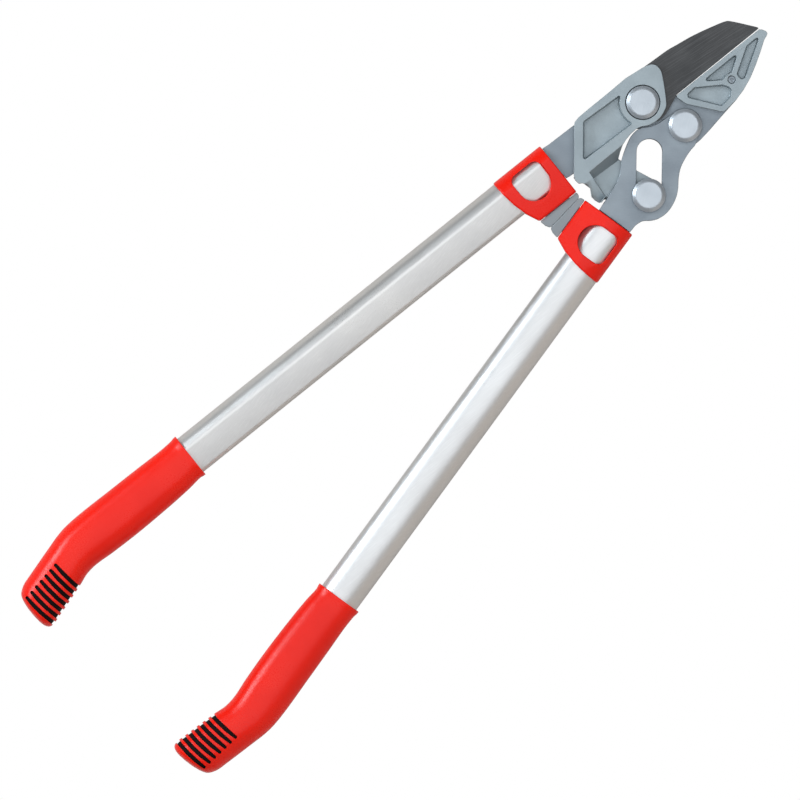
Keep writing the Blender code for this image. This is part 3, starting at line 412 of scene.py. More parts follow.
def along_handle(section, t):
    """Section points placed at a station along the handle."""
    return [(s, t, z) for s, z in section]


def tube_plug(name, offset, start, end):
    """Solid bar of the tube's section."""
    section = tube_section(offset)
    rings = [along_handle(section, start), along_handle(section, end)]
    return loft(name, rings)


def collar_section(offset=0.0):
    """Collar outline across: ridge over the crease, flared to the stop block."""
    scale_x = TUBE_WIDTH / DRAWN_WIDTH * MM
    scale_z = TUBE_DEPTH / DRAWN_DEPTH * MM
    front = [(27.5, -6.8), (27.5, 6.8), (26.4, 8.3), (17, 10.7), (6, 12.6)]
    front += [(-3.8, 13.9), (-5, 14.0), (-6.4, 13.7), (-10.8, 12.0), (-14.4, 8.9)]
    front += [(-16.5, 4.8), (-17, 0)]
    back = [(-16.5, -4.9), (-14, -8.6), (-9, -11.6), (-2, -13.3), (3.4, -14.0)]
    back += [(4.6, -14.0), (6, -13.7), (16.5, -10.9), (26.2, -8.4)]
    points = [(x * scale_x, z * scale_z) for x, z in front + back]
    return grown(points, offset) if offset else points


def collar_bottom(s):
    """The collar's slanting lower edge."""
    across = s / (TUBE_WIDTH / DRAWN_WIDTH) / MM
    run = [(-17, -25.4), (-8, -25.0), (0, -24.2), (8, -22.9), (16, -20.6), (27.5, -15.5)]
    for (s0, t0), (s1, t1) in zip(run, run[1:]):
        if across <= s1:
            return (t0 + (t1 - t0) * (across - s0) / (s1 - s0)) * MM
    return run[-1][1] * MM


def collar_ring(inset, lift_bottom, top=None):
    """One ring of the collar, at its slanted foot or at a level near its top."""
    ring = []
    for s, z in collar_section(inset):
        t = collar_bottom(s) + lift_bottom if top is None else top
        ring.append((s, t, z))
    return ring


def window_outline(offset=0.0):
    """The collar's D shaped window."""
    points = arc((-6.0, -8.6), 4.8, 270, 180, 4)
    points += arc((-6.0, 5.8), 4.8, 180, 90, 4)
    points += arc((3.0, -1.4), 12.0, 90, -90, 10)
    scale = TUBE_WIDTH / DRAWN_WIDTH * MM
    points = [(x * scale, y * MM) for x, y in points]
    return grown(points, offset) if offset else points


def meeting_line(t):
    """How far across the handle the two stop blocks meet."""
    reach = -HANDLE_AXIS_X - STOP_GAP - t * math.sin(HANDLE_TILT)
    return reach / math.cos(HANDLE_TILT)


def tongue_outline():
    """Tongue of the stop block, held in the collar."""
    return [(0.0215, -0.009), (0.0285, -0.009), (0.0285, 0.013), (0.0215, 0.013)]


def grip_ring(distance, outer, inner, half_depth, inset):
    """Oval ring of the grip, slightly squared."""
    ring = []
    middle = (outer + inner) / 2
    half = (inner - outer) / 2 - inset
    deep = half_depth - inset
    t = GRIP_END + GRIP_LENGTH + distance * GRIP_LENGTH / DRAWN_GRIP
    for k in range(GRIP_SEGMENTS):
        angle = 2 * math.pi * k / GRIP_SEGMENTS
        c = math.cos(angle)
        s = math.sin(angle)
        x = middle + half * math.copysign(abs(c) ** 0.86, c)
        z = deep * math.copysign(abs(s) ** 0.86, s)
        ring.append((x * MM, t, z * MM))
    return ring


def groove_outline(index):
    """One sagging groove, from the grip's flank out over its inner edge."""
    start_s = -0.4 + 0.97 * index
    start_t = GRIP_END + GROOVE_START - index * GROOVE_PITCH
    slope = math.tan(HANDLE_TILT)
    upper = []
    lower = []
    for k in range(5):
        s = start_s + (41.0 - start_s) * k / 4
        sag = 1.0 * math.sin(math.pi * min(k / 3.3, 1.0))
        t = start_t + ((s - start_s) * slope - sag) * MM
        half = GROOVE_WIDTH / 2 * (0.75 if k == 0 else 1.0)
        upper.append((s * MM, t + half))
        lower.append((s * MM, t - half))
    upper[0] = (upper[0][0] + 0.8 * MM, upper[0][1])
    lower[0] = (lower[0][0] + 0.8 * MM, lower[0][1])
    nose = [(start_s * MM, start_t)]
    return lower + list(reversed(upper)) + nose


def grow_mm(points, distance):
    """Outline in millimetres, grown, as metres."""
    return centred(grown(points, distance))


def stadium(centre_a, centre_b, radius, low, high, name="slot"):
    """Round ended slot between two drawing points."""
    a = Vector(centre_a)
    b = Vector(centre_b)
    heading = math.degrees(math.atan2(b.y - a.y, b.x - a.x))
    r = radius / MM
    points = arc(b, r, heading - 90, heading + 90, 12)
    points += arc(a, r, heading + 90, heading + 270, 12)
    return prism(name, centred(points), low, high)


def blade_outline():
    """Blade with its tang round the pivot."""
    top = [(9.65, 101.2), (8.9, 101.6), (7.4, 100.9)]
    shoulder = smooth_run([(7.4, 100.9), (-8.6, 91.3), (-12.6, 87.4), (-16.2, 79.6)], 3)
    back = smooth_run([(-16.2, 79.6), (-20.1, 70.0), (-23.7, 60.0), (-26.6, 50.0),
                       (-29.1, 41.4), (-31.2, 30.0), (-33.0, 20.4)], 2)
    tang = [(-31.4, 14.0), (-29.4, 2.0)]
    heel = arc(BLADE_PIVOT, 14.2, 200, 318, 10)
    front = [(3.0, -2.5), (3.9, 1.5), (3.7, 6.0), (2.4, 11.5), (0.8, 17.0), (-0.55, 22.0)]
    return top + shoulder[1:] + back[1:] + tang + heel + front


def anvil_outline():
    """Cast anvil, its straight face along the blade's edge."""
    points = [(-0.2, 22.0), (0.6, 21.0), (1.6, 20.7), (9.6, 22.0)]
    points += [(32.6, 36.1), (34.1, 37.6), (34.5, 40.0), (34.8, 50.0)]
    points += [(33.5, 60.0), (31.0, 70.0), (27.1, 80.0), (22.6, 90.0), (18.7, 97.9)]
    points += [(17.8, 101.6), (17.0, 103.2), (15.2, 103.7), (12.1, 102.5), (10.3, 101.0)]
    return points


def lever_plate_outline():
    """Steel plate that joins the left handle, the blade pivot and the anvil."""
    points = [(11.2, 99.0), (2.4, 40.0), (-0.4, 21.4), (-9.0, 18.6)]
    points += arc(BLADE_PIVOT, 14.5, 105, 178, 6)
    points += [(-33.0, -14.0), (-38.0, -34.0), (-41.2, -49.6), (-44.6, -72.0)]
    points += [handle_point(-14.3, 20.5), handle_point(-LEFT_TANG, 20.5)]
    points += [handle_point(-LEFT_TANG, TANG_BOTTOM / MM)]
    points += [handle_point(LEFT_TANG, TANG_BOTTOM / MM)]
    points += [handle_point(LEFT_TANG, 20.5), handle_point(14.6, 20.5)]
    points += [(-16.2, -78.0), (-11.3, -45.0), (-8.4, -22.5), (-4.9, -18.0)]
    points += [(2.4, -10.2), (11.0, -6.8)]
    points += arc(HANDLE_PIVOT, 15.0, 250, 325, 5)
    points += [(35.6, 4.6), (36.2, 10.0), (36.1, 20.0), (35.6, 30.0), (35.2, 40.0)]
    points += [(34.9, 50.0), (33.6, 60.0), (31.0, 69.4), (26.6, 79.4), (22.0, 89.4)]
    points += [(17.9, 97.4), (16.4, 101.2), (14.6, 102.2)]
    return points


def power_outline():
    """Slotted lever plate from the handle pivot to the right handle."""
    points = arc(HANDLE_PIVOT, 13.1, 4, 180, 16)
    points += smooth_run([(4.7, -2.2), (1.7, -9.1), (-2.3, -13.9)], 3)
    points += smooth_run([(-4.1, -18.8), (-3.9, -24.4), (-2.2, -30.0), (0.6, -36.8),
                          (3.6, -42.7), (6.2, -46.4), (9.8, -51.4), (12.5, -57.4),
                          (14.2, -64.0), (15.2, -70.0)], 2)
    points += [handle_point(14.6, 20.5, 1), handle_point(-14.3, 20.5, 1)]
    points += smooth_run([(45.7, -74.5), (45.5, -71.5), (46.0, -68.0), (47.7, -64.2),
                          (51.7, -60.0), (54.6, -55.0), (56.0, -48.3), (55.4, -41.7),
                          (53.0, -34.4), (49.2, -28.3), (44.2, -22.5), (40.0, -15.8),
                          (37.6, -8.3), (36.4, -1.7), (36.2, 3.2)], 2)
    points += [(35.4, 6.4), (33.9, 8.6)]
    return points


def root_outline():
    """Solid root of the power lever between its two plates."""
    points = [handle_point(14.2, 20.5, 1), handle_point(-13.9, 20.5, 1)]
    points += [(45.2, -74.5), (45.1, -71.5), (45.6, -67.6), (46.4, -65.4)]
    points += [(37.0, -62.8), (16.2, -74.2)]
    return points


def carrier_outline():
    """Casting that carries the blade and reaches down to the drive arm."""
    points = smooth_run([(-33.4, 19.0), (-32.2, 22.2), (-30.2, 25.4), (-27.6, 27.1),
                         (-24.7, 27.4), (-20.8, 26.4), (-15.8, 23.1), (-10.1, 18.8),
                         (-3.7, 13.6), (-0.2, 10.0), (1.7, 4.8), (2.3, 0.0),
                         (1.5, -5.4), (-0.4, -10.2), (-3.4, -14.2), (-4.8, -18.5)], 2)
    points += [(-5.1, -23.6), (-4.8, -28.5), (-4.0, -33.3), (-1.4, -39.2), (1.1, -43.6)]
    points += [(8.0, -55.0), (14.0, -69.5), (14.9, -76.2), (13.6, -77.9)]
    points += [(10.0, -78.75), (6.4, -78.5), (4.2, -77.0), (1.2, -74.8), (-2.5, -74.2)]
    points += [(-5.8, -75.8), (-7.5, -78.0), (-11.6, -78.1), (-15.0, -75.8)]
    points += [(-40.4, -48.8), (-42.1, -46.4), (-42.5, -41.9), (-41.6, -33.3)]
    points += [(-39.0, -12.6), (-37.2, 4.3)]
    return list(reversed(points))


def arm_outline():
    """Flat arm in the plate's layer, out to the drive pin."""
    points = [(-13.2, -77.4), (-9.9, -46.0), (-8.2, -34.5), (-4.6, -34.0)]
    points += [(-3.9, -33.3), (-1.4, -39.2), (1.1, -43.6), (17.5, -40.2)]
    points += arc(DRIVE_PIN, 12.4, 102, -62, 12)
    points += [(24.0, -65.6), (15.2, -72.6), (13.0, -77.6)]
    points += [(6.4, -78.0), (4.2, -76.6), (1.2, -74.6), (-2.5, -74.1), (-5.8, -75.4)]
    points += [(-7.9, -77.6)]
    return list(reversed(points))


def make_step():
    """Cutter of the low pocket: a long sloping wall and a ramp at its foot."""
    floor = [(-2.2, -67.4), (13.2, -70.8), (60.0, -70.8), (60.0, -20.0), (4.2, -30.0)]
    brink = [(-7.9, -66.2), (13.2, -70.8), (60.0, -70.8), (60.0, -20.0), (-3.2, -26.0)]
    rings = []
    for outline, z in ((floor, MID_HIGH), (brink, CASTING_TOP), (brink, CASTING_TOP + 0.001)):
        rings.append([(x, y, z) for x, y in centred(outline)])
    step = loft("step", rings)
    ramp = [(-3.3, -68.0, CASTING_TOP), (-4.6, -74.5, CASTING_TOP),
            (14.2, -80.5, MID_HIGH + 0.0012), (13.6, -70.0, MID_HIGH + 0.0012)]
    low = [(x * MM, y * MM, z) for x, y, z in ramp]
    high = [(x, y, CASTING_TOP + 0.001) for x, y, z in low]
    return join(step, loft("ramp", [low, high]))


def in_row_frame(item, matrix=None):
    """Move a piece's mesh from the drawing, or from its handle, into the row frame."""
    shift = Matrix.Translation((0, DRAWING_SHIFT, 0))
    item.data.transform(shift @ matrix if matrix is not None else shift)
    return item


def weld(item, distance):
    """Merge the short edges that a bevel would fold over."""
    bm = bmesh.new()
    bm.from_mesh(item.data)
    bmesh.ops.remove_doubles(bm, verts=bm.verts, dist=distance)
    bmesh.ops.dissolve_degenerate(bm, edges=bm.edges, dist=distance)
    bm.to_mesh(item.data)
    bm.free()


def refine(item, width, segments=2, angle=32):
    """Rounded edges and even shading."""
    mesh = item.data
    mesh.shade_smooth()
    mesh.set_sharp_from_angle(angle=math.radians(angle))
    if width > 0:
        bevel = item.modifiers.new("Edges", "BEVEL")
        bevel.width = width
        bevel.segments = segments
        bevel.limit_method = "ANGLE"
        bevel.angle_limit = math.radians(angle)
        bevel.use_clamp_overlap = False
        bevel.miter_outer = "MITER_ARC"
        bevel.harden_normals = False
    normals = item.modifiers.new("Normals", "WEIGHTED_NORMAL")
    normals.keep_sharp = width == 0
    return item


def publish(item, node, body, material):
    """Name a finished piece, dress it, and let it stand for its CAD node."""
    item.name = node + "_fine"
    item.data.name = item.name
    item.data.materials.clear()
    item.data.materials.append(material)
    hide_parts(node)
    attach(item, body)
    return item


def publish_pair(item, label, material_for):
    """A handle piece and its turned over twin on the other handle."""
    for side, prefix, body in SIDES:
        twin = bpy.data.objects.new(prefix + label, item.data.copy())
        bpy.context.scene.collection.objects.link(twin)
        for modifier in item.modifiers:
            copy_modifier(modifier, twin)
        in_row_frame(twin, handle_matrix(side))
        publish(twin, prefix + label, body, material_for(side))
    bpy.data.objects.remove(item, do_unlink=True)


def copy_modifier(source, item):
    """Give the twin the same modifier."""
    made = item.modifiers.new(source.name, source.type)
    kept = {"BEVEL": ("width", "segments", "limit_method", "angle_limit",
                      "use_clamp_overlap", "miter_outer"),
            "WEIGHTED_NORMAL": ("keep_sharp",)}
    for label in kept[source.type]:
        setattr(made, label, getattr(source, label))

# Materials.


def new_group(name, inputs, output, kind="NodeSocketFloat"):
    """Empty node group with float inputs and one output."""
    group = bpy.data.node_groups.new(name, "ShaderNodeTree")
    for label, default in inputs:
        socket = group.interface.new_socket(label, in_out="INPUT",
                                            socket_type="NodeSocketFloat")
        socket.default_value = default
    group.interface.new_socket(output, in_out="OUTPUT", socket_type=kind)
    start = group.nodes.new("NodeGroupInput")
    end = group.nodes.new("NodeGroupOutput")
    return group, start, end


def grain_group():
    """Even noise through the piece, for grain, pebbling and slow colour drift."""
    group, start, end = new_group("Grain", [("Scale", 1000.0), ("Detail", 3.0)], "Value")
    coords = group.nodes.new("ShaderNodeTexCoord")
    noise = group.nodes.new("ShaderNodeTexNoise")
    group.links.new(coords.outputs["Object"], noise.inputs["Vector"])
    group.links.new(start.outputs["Scale"], noise.inputs["Scale"])
    group.links.new(start.outputs["Detail"], noise.inputs["Detail"])
    group.links.new(noise.outputs["Fac"], end.inputs["Value"])
    return group


def brushed_group():
    """Long thin marks in one direction across the face."""
    inputs = [("Scale", 2000.0), ("Stretch", 40.0), ("Angle", 0.0)]
    group, start, end = new_group("Brushed", inputs, "Value")
    coords = group.nodes.new("ShaderNodeTexCoord")
    turn = group.nodes.new("ShaderNodeVectorRotate")
    turn.rotation_type = "Z_AXIS"
    divide = group.nodes.new("ShaderNodeMath")
    divide.operation = "DIVIDE"
    combine_axes = group.nodes.new("ShaderNodeCombineXYZ")
    stretch = group.nodes.new("ShaderNodeVectorMath")
    stretch.operation = "MULTIPLY"
    noise = group.nodes.new("ShaderNodeTexNoise")
    noise.inputs["Scale"].default_value = 1.0
    noise.inputs["Detail"].default_value = 2.0
    link = group.links.new
    link(coords.outputs["Object"], turn.inputs["Vector"])
    link(start.outputs["Angle"], turn.inputs["Angle"])
    link(start.outputs["Scale"], divide.inputs[0])
    link(start.outputs["Stretch"], divide.inputs[1])
    link(start.outputs["Scale"], combine_axes.inputs["X"])
    link(divide.outputs["Value"], combine_axes.inputs["Y"])
    link(start.outputs["Scale"], combine_axes.inputs["Z"])
    link(turn.outputs["Vector"], stretch.inputs[0])
    link(combine_axes.outputs["Vector"], stretch.inputs[1])
    link(stretch.outputs["Vector"], noise.inputs["Vector"])
    link(noise.outputs["Fac"], end.inputs["Value"])
    return group


def remap(nodes, links, source, low, high, from_low=0.3, from_high=0.7):
    """Map a value's usual span onto a wanted one."""
    node = nodes.new("ShaderNodeMapRange")
    node.inputs["From Min"].default_value = from_low
    node.inputs["From Max"].default_value = from_high
    node.inputs["To Min"].default_value = low
    node.inputs["To Max"].default_value = high
    links.new(source, node.inputs["Value"])
    return node.outputs["Result"]


def shine_group():
    """Mask of the piece's edges, broken up by noise, where a lighter colour is painted on as a
    highlight.
    """
    group, start, end = new_group("Edge Shine", [("Radius", 0.0006)], "Mask")
    bevel = group.nodes.new("ShaderNodeBevel")
    bevel.samples = 4
    geometry = group.nodes.new("ShaderNodeNewGeometry")
    dot = group.nodes.new("ShaderNodeVectorMath")
    dot.operation = "DOT_PRODUCT"
    coords = group.nodes.new("ShaderNodeTexCoord")
    noise = group.nodes.new("ShaderNodeTexNoise")
    noise.inputs["Scale"].default_value = 260.0
    mask = group.nodes.new("ShaderNodeMath")
    mask.operation = "MULTIPLY"
    link = group.links.new
    link(start.outputs["Radius"], bevel.inputs["Radius"])
    link(bevel.outputs["Normal"], dot.inputs[0])
    link(geometry.outputs["Normal"], dot.inputs[1])
    link(coords.outputs["Object"], noise.inputs["Vector"])
    edge = remap(group.nodes, group.links, dot.outputs["Value"], 0.0, 1.0, 0.995, 0.86)
    spots = remap(group.nodes, group.links, noise.outputs["Fac"], 0.0, 1.0, 0.35, 0.65)
    link(edge, mask.inputs[0])
    link(spots, mask.inputs[1])
    link(mask.outputs["Value"], end.inputs["Mask"])
    return group


def shared_group(name):
    """The shared group, built the first time it is wanted."""
    makers = {"Grain": grain_group, "Brushed": brushed_group, "Edge Shine": shine_group}
    found = bpy.data.node_groups.get(name)
    return found if found is not None else makers[name]()


def use_group(nodes, name, **values):
    """Group node with its inputs set."""
    node = nodes.new("ShaderNodeGroup")
    node.node_tree = shared_group(name)
    for label, value in values.items():
        node.inputs[label.replace("_", " ")].default_value = value
    return node


def mix_colour(nodes, links, factor, first, second):
    """Colour mix; first and second are sockets or plain colours."""
    node = nodes.new("ShaderNodeMix")
    node.data_type = "RGBA"
    links.new(factor, node.inputs["Factor"])
    for index, value in ((6, first), (7, second)):
        if isinstance(value, tuple):
            node.inputs[index].default_value = (*value, 1.0)
        else:
            links.new(value, node.inputs[index])
    return node.outputs[2]


def added(nodes, links, first, second):
    """Sum of two values."""
    node = nodes.new("ShaderNodeMath")
    node.operation = "ADD"
    links.new(first, node.inputs[0])
    links.new(second, node.inputs[1])
    return node.outputs["Value"]


def surface(name, base, drift, scuff_and_shine, roughness, metallic, specular=0.5, drift_scale=25.0,
            grain_scale=1800.0, grain_height=0.4, streak_angle=0.0, streak_height=0.0,
            streak_colour=0.0, edge_shine=0.5, bump=0.00004):
    """Procedural finish: slow colour drift, grain, lighter brush marks, and edges painted
    lighter as a painted highlight.
    """
    found = bpy.data.materials.get(name)
    if found is not None:
        return found
    material = bpy.data.materials.new(name)
    material.use_nodes = True
    nodes = material.node_tree.nodes
    links = material.node_tree.links
    shader = nodes["Principled BSDF"]
    shader.inputs["Metallic"].default_value = metallic
    shader.inputs["Specular IOR Level"].default_value = specular
    patches = use_group(nodes, "Grain", Scale=drift_scale, Detail=2.0).outputs["Value"]
    grain = use_group(nodes, "Grain", Scale=grain_scale, Detail=3.0).outputs["Value"]
    streaks = use_group(nodes, "Brushed", Scale=2600.0, Stretch=60.0,
                        Angle=streak_angle).outputs["Value"]
    # The light colour serves the brush marks as scuffs and the edges as a painted highlight on
    # the chamfers.
    edges = use_group(nodes, "Edge Shine", Radius=0.0005).outputs["Mask"]
    tone = mix_colour(nodes, links, remap(nodes, links, patches, 0.0, 1.0), base, drift)
    lined = mix_colour(nodes, links,
                       remap(nodes, links, streaks, 0.0, streak_colour, 0.5, 0.75),
                       tone, scuff_and_shine)
    shone = mix_colour(nodes, links, remap(nodes, links, edges, 0.0, edge_shine, 0.0, 1.0),
                        lined, scuff_and_shine)
    links.new(shone, shader.inputs["Base Color"])
    sheen = added(nodes, links, remap(nodes, links, patches, -0.05, 0.05),
                  remap(nodes, links, grain, *roughness))
    links.new(sheen, shader.inputs["Roughness"])
    height = added(nodes, links, remap(nodes, links, grain, 0.0, grain_height),
                   remap(nodes, links, streaks, 0.0, streak_height))
    relief = nodes.new("ShaderNodeBump")
    relief.inputs["Strength"].default_value = 0.6
    relief.inputs["Distance"].default_value = bump
    links.new(height, relief.inputs["Height"])
    links.new(relief.outputs["Normal"], shader.inputs["Normal"])
    return material


def red_plastic():
    """Bright red moulded plastic of the collars."""
    return surface("Red plastic", (1.0, 0.013, 0.002), (0.92, 0.010, 0.002),
                   (1.0, 0.16, 0.10), (0.24, 0.34), 0.0, specular=0.26,
                   grain_scale=1500.0, grain_height=0.7, edge_shine=0.35)


def grip_plastic():
    """Softer red of the grips, with a fine pebble."""
    return surface("Red grip", (1.0, 0.013, 0.002), (0.92, 0.010, 0.002),
                   (1.0, 0.14, 0.09), (0.26, 0.36), 0.0, specular=0.28,
                   grain_scale=1000.0, grain_height=1.0, edge_shine=0.25, bump=0.00006)


def black_rubber():
    """Matt black core of the grips."""
    return surface("Black core", (0.004, 0.002, 0.002), (0.008, 0.005, 0.005),
                   (0.03, 0.02, 0.02), (0.62, 0.80), 0.0, specular=0.12, grain_scale=900.0,
                   grain_height=1.0, edge_shine=0.3)


def grey_plastic():
    """Mid grey stop blocks and tube plugs."""
    return surface("Grey plastic", (0.30, 0.34, 0.37), (0.26, 0.295, 0.32),
                   (0.40, 0.43, 0.45), (0.45, 0.60), 0.0, grain_scale=900.0,
                   grain_height=1.0, edge_shine=0.4)


def cast_alloy():
    """Light grey die cast skin with a fine sandy grain."""
    return surface("Cast alloy", (0.355, 0.42, 0.455), (0.325, 0.385, 0.42),
                   (0.85, 0.90, 0.92), (0.42, 0.56), 0.45, grain_scale=1300.0,
                   grain_height=1.0, drift_scale=45.0, edge_shine=0.35, bump=0.00008)


def plate_steel():
    """Ground steel plate with grinding marks across it."""
    return surface("Plate steel", (0.245, 0.285, 0.32), (0.215, 0.25, 0.285),
                   (0.62, 0.67, 0.71), (0.34, 0.50), 0.85, grain_scale=2200.0,
                   grain_height=0.3, streak_angle=0.7, streak_height=0.8,
                   streak_colour=0.03, drift_scale=38.0, edge_shine=0.7)


def bright_steel():
    """Turned and plated pivot heads, rivets and pins."""
    return surface("Bright steel", (0.49, 0.54, 0.59), (0.46, 0.51, 0.56),
                   (0.92, 0.95, 0.97), (0.34, 0.46), 0.65, grain_scale=2600.0,
                   grain_height=0.3, streak_angle=-0.5, streak_height=0.5,
                   streak_colour=0.06, drift_scale=70.0, edge_shine=0.8)


def blade_coating():
    """Dark low friction coating with light scuffs, its edges painted lighter as a painted
    highlight.
    """
    return surface("Blade coating", (0.050, 0.052, 0.055), (0.036, 0.038, 0.041),
                   (0.30, 0.31, 0.32), (0.30, 0.44), 0.35, grain_scale=2400.0,
                   grain_height=0.35, streak_angle=0.25, streak_height=0.6,
                   streak_colour=0.18, drift_scale=40.0, edge_shine=0.55)


def tube_finish_and_painted_tint(side):
    """Satin plated tube, drawn along its length, with its base tinted by side as a painted
    reflection.
    """
    # One and the same tube on both sides: the left base is tinted warm and the right base cool,
    # painted reflections of the warm light and of the cool key light.
    name, base = (("Tube left", (0.66, 0.655, 0.645)) if side < 0
                  else ("Tube right", (0.66, 0.67, 0.68)))
    return surface(name, base, (0.63, 0.635, 0.64), (0.92, 0.92, 0.92), (0.30, 0.40), 0.8,
                   grain_scale=2400.0, grain_height=0.25, streak_angle=side * HANDLE_TILT,
                   streak_height=0.5, streak_colour=0.25, drift_scale=16.0, edge_shine=0.3)

# Pieces.


def make_tubes():
    """Oval tubes with a crease along one face."""
    tube = tube_plug("tube", 0.0, TUBE_END, TUBE_TOP)
    cut(tube, tube_plug("bore", -TUBE_WALL, TUBE_END - 0.001, TUBE_TOP + 0.001))
    refine(tube, 0.0003, 2, 40)
    publish_pair(tube, "tube", tube_finish_and_painted_tint)


def collar_rings():
    """Stations of the collar, rounded at both ends."""
    rings = []
    for k in range(5):
        turn = math.radians(90 * k / 4)
        rings.append(collar_ring(-0.0013 * (1 - math.sin(turn)),
                                 0.0014 * (1 - math.cos(turn))))
    for t in (-0.004, 0.004, 0.012):
        rings.append(collar_ring(0.0, 0, t))
    for k in range(5):
        turn = math.radians(90 * k / 4)
        rings.append(collar_ring(-0.0010 * (1 - math.cos(turn)), 0,
                                 COLLAR_TOP - 0.0010 * (1 - math.sin(turn))))
    return rings


def make_collars(edge):
    """Red collars with a rimmed window on each face."""
    collar = loft("collar", collar_rings())
    cut(collar, tube_plug("cavity", LAYER_GAP, -0.03, 0.03))
    cut(collar, prism("window", window_outline(0.0), 0.0, 0.016, 0.0012))
    back = prism("window", window_outline(0.0), 0.0, 0.016, 0.0012)
    back.data.transform(Matrix.Scale(-1, 4, (0, 0, 1)))
    back.data.flip_normals()
    cut(collar, back)
    cut(collar, prism("pocket", grown(tongue_outline(), LAYER_GAP), -0.0053, 0.0053))
    refine(collar, edge, 3, 34)
    publish_pair(collar, "collar", lambda side: red_plastic())


def fine_station(distance):
    """Smooth outer edge, inner edge and half depth of the grip."""
    last = len(GRIP_STATIONS) - 1
    for index, (first, second) in enumerate(zip(GRIP_STATIONS, GRIP_STATIONS[1:])):
        if distance < second[0]:
            continue
        before = GRIP_STATIONS[max(index - 1, 0)]
        after = GRIP_STATIONS[min(index + 2, last)]
        span = first[0] - second[0]
        t = (first[0] - distance) / span
        values = []
        for k in (1, 2, 3):
            m0 = (second[k] - before[k]) / max(before[0] - second[0], 0.1) * span
            m1 = (after[k] - first[k]) / max(first[0] - after[0], 0.1) * span
            h00 = (1 + 2 * t) * (1 - t) ** 2
            h10 = t * (1 - t) ** 2
            h01 = t * t * (3 - 2 * t)
            h11 = t * t * (t - 1)
            values.append(h00 * first[k] + h10 * m0 + h01 * second[k] + h11 * m1)
        return values
    return list(GRIP_STATIONS[-1][1:])


def fine_grip(start, end, step, inset):
    """Many smooth rings of the grip."""
    rings = []
    count = int(round((start - end) / step))
    for k in range(count + 1):
        distance = start + (end - start) * k / count
        outer, inner, deep = fine_station(distance)
        rings.append(grip_ring(distance, outer, inner, deep, inset))
    return rings


def make_grips(edge):
    """Red grips with seven grooves that show the core."""
    rings = fine_grip(0.0, -163.0, 2.2, 0.0)
    rings += fine_grip(-163.6, -168.7, 0.5, 0.0)
    grip = loft("grip", list(reversed(rings)))
    mouth = GRIP_END + GRIP_LENGTH
    cut(grip, tube_plug("bore", LAYER_GAP, TUBE_END - 0.002, mouth + 0.005))
    hollow = loft("hollow", fine_grip(-122.5, -166.2, 1.9, SHELL_WALL / MM))
    cut(grip, hollow)
    for index in range(GROOVE_COUNT):
        cut(grip, prism("groove", groove_outline(index), -0.02, 0.02))
    weld(grip, 0.00012)
    refine(grip, edge, 2, 42)
    publish_pair(grip, "grip", lambda side: grip_plastic())


def make_cores():
    """Dark cores inside the grips."""
    gap = LAYER_GAP / MM
    rings = fine_grip(-122.5 - gap, -166.2 + gap, 1.9, SHELL_WALL / MM + gap)
    core = loft("core", rings)
    refine(core, 0.0, 1, 40)
    publish_pair(core, "grip_core", lambda side: black_rubber())


def bevel_cutter():
    """Wedge that thins the blade to its edge."""
    a = Vector(BLADE_EDGE[0])
    b = Vector(BLADE_EDGE[1])
    run = (b - a).normalized()
    inward = Vector((run.y, -run.x))
    slope = (BLADE_THICKNESS - 0.0009) / 6.2
    bm = bmesh.new()
    rows = []
    for point in (a - run * 6, b - run * 1.0):
        land = point + inward * 6.2
        out = point - inward * 2.0
        row = [(land, FRONT_LOW), (out, FRONT_LOW + slope * 8.2)]
        row += [(out, FRONT_LOW - 0.002), (land, FRONT_LOW - 0.002)]
        rows.append([bm.verts.new((p.x * MM, p.y * MM, z)) for p, z in row])
    for k in range(4):
        m = (k + 1) % 4
        bm.faces.new((rows[0][k], rows[0][m], rows[1][m], rows[1][k]))
    bm.faces.new(rows[0])
    bm.faces.new(rows[1])
    return make_object("bevel", bm)


def drill(target, radius, *centres, low=0.0, high=CUT_TOP):
    """Round holes at drawing points."""
    for centre in centres:
        cut(target, cylinder("hole", centre, radius, low, high))


def drill_pivots(target, *centres):
    """Clearance holes for the pivots' shanks."""
    drill(target, SHANK_RADIUS + PIN_CLEARANCE, *centres)


def drill_tang(target, side):
    """Holes for the two rivets through a handle's tang."""
    places = [handle_point(0, t / MM, side) for t in (UPPER_RIVET, LOWER_RIVET)]
    drill(target, RIVET_RADIUS + 2 * PIN_CLEARANCE, *places)


def make_blade(edge):
    """Coated blade, thinned to its edge on the rear."""
    blade = prism("blade", centred(blade_outline()), FRONT_LOW, FRONT_HIGH)
    cut(blade, bevel_cutter())
    drill_pivots(blade, BLADE_PIVOT)
    refine(in_row_frame(blade), edge, 2, 20)
    publish(blade, "blade", "blade_lever", blade_coating())


def make_anvil(edge):
    """Anvil casting with drafted pockets."""
    anvil = prism("anvil", centred(anvil_outline()), FRONT_LOW, ANVIL_TOP)
    floor = FRONT_LOW + ANVIL_POCKET_FLOOR
    top_pocket = [(14.0, 97.0), (12.9, 85.4), (22.1, 65.2), (26.3, 64.8), (27.5, 67.0)]
    mid_pocket = [(11.3, 75.7), (7.4, 44.3), (16.2, 54.3), (15.9, 57.6), (17.0, 63.2)]
    low_pocket = [(6.0, 35.0), (5.6, 28.1), (7.3, 27.2), (29.5, 39.8), (29.6, 48.6)]
    low_pocket += [(26.3, 52.9), (24.0, 53.0), (19.8, 51.0)]
    for outline in (top_pocket, mid_pocket, low_pocket):
        shape = centred(rounded(outline, 1.2, 4))
        cut(anvil, prism("pocket", shape, floor, ANVIL_TOP + 0.001, 0.0008))
    boss = cylinder("boss", ANVIL_SCREW, BOSS_RADIUS, FRONT_LOW + 0.001, ANVIL_TOP - 0.0002)
    join(anvil, boss)
    drill(anvil, SCREW_HEAD_RADIUS + PIN_CLEARANCE, ANVIL_SCREW, low=floor)
    weld(anvil, 0.00012)
    refine(in_row_frame(anvil), edge, 3, 32)
    publish(anvil, "anvil", "anvil_lever", cast_alloy())


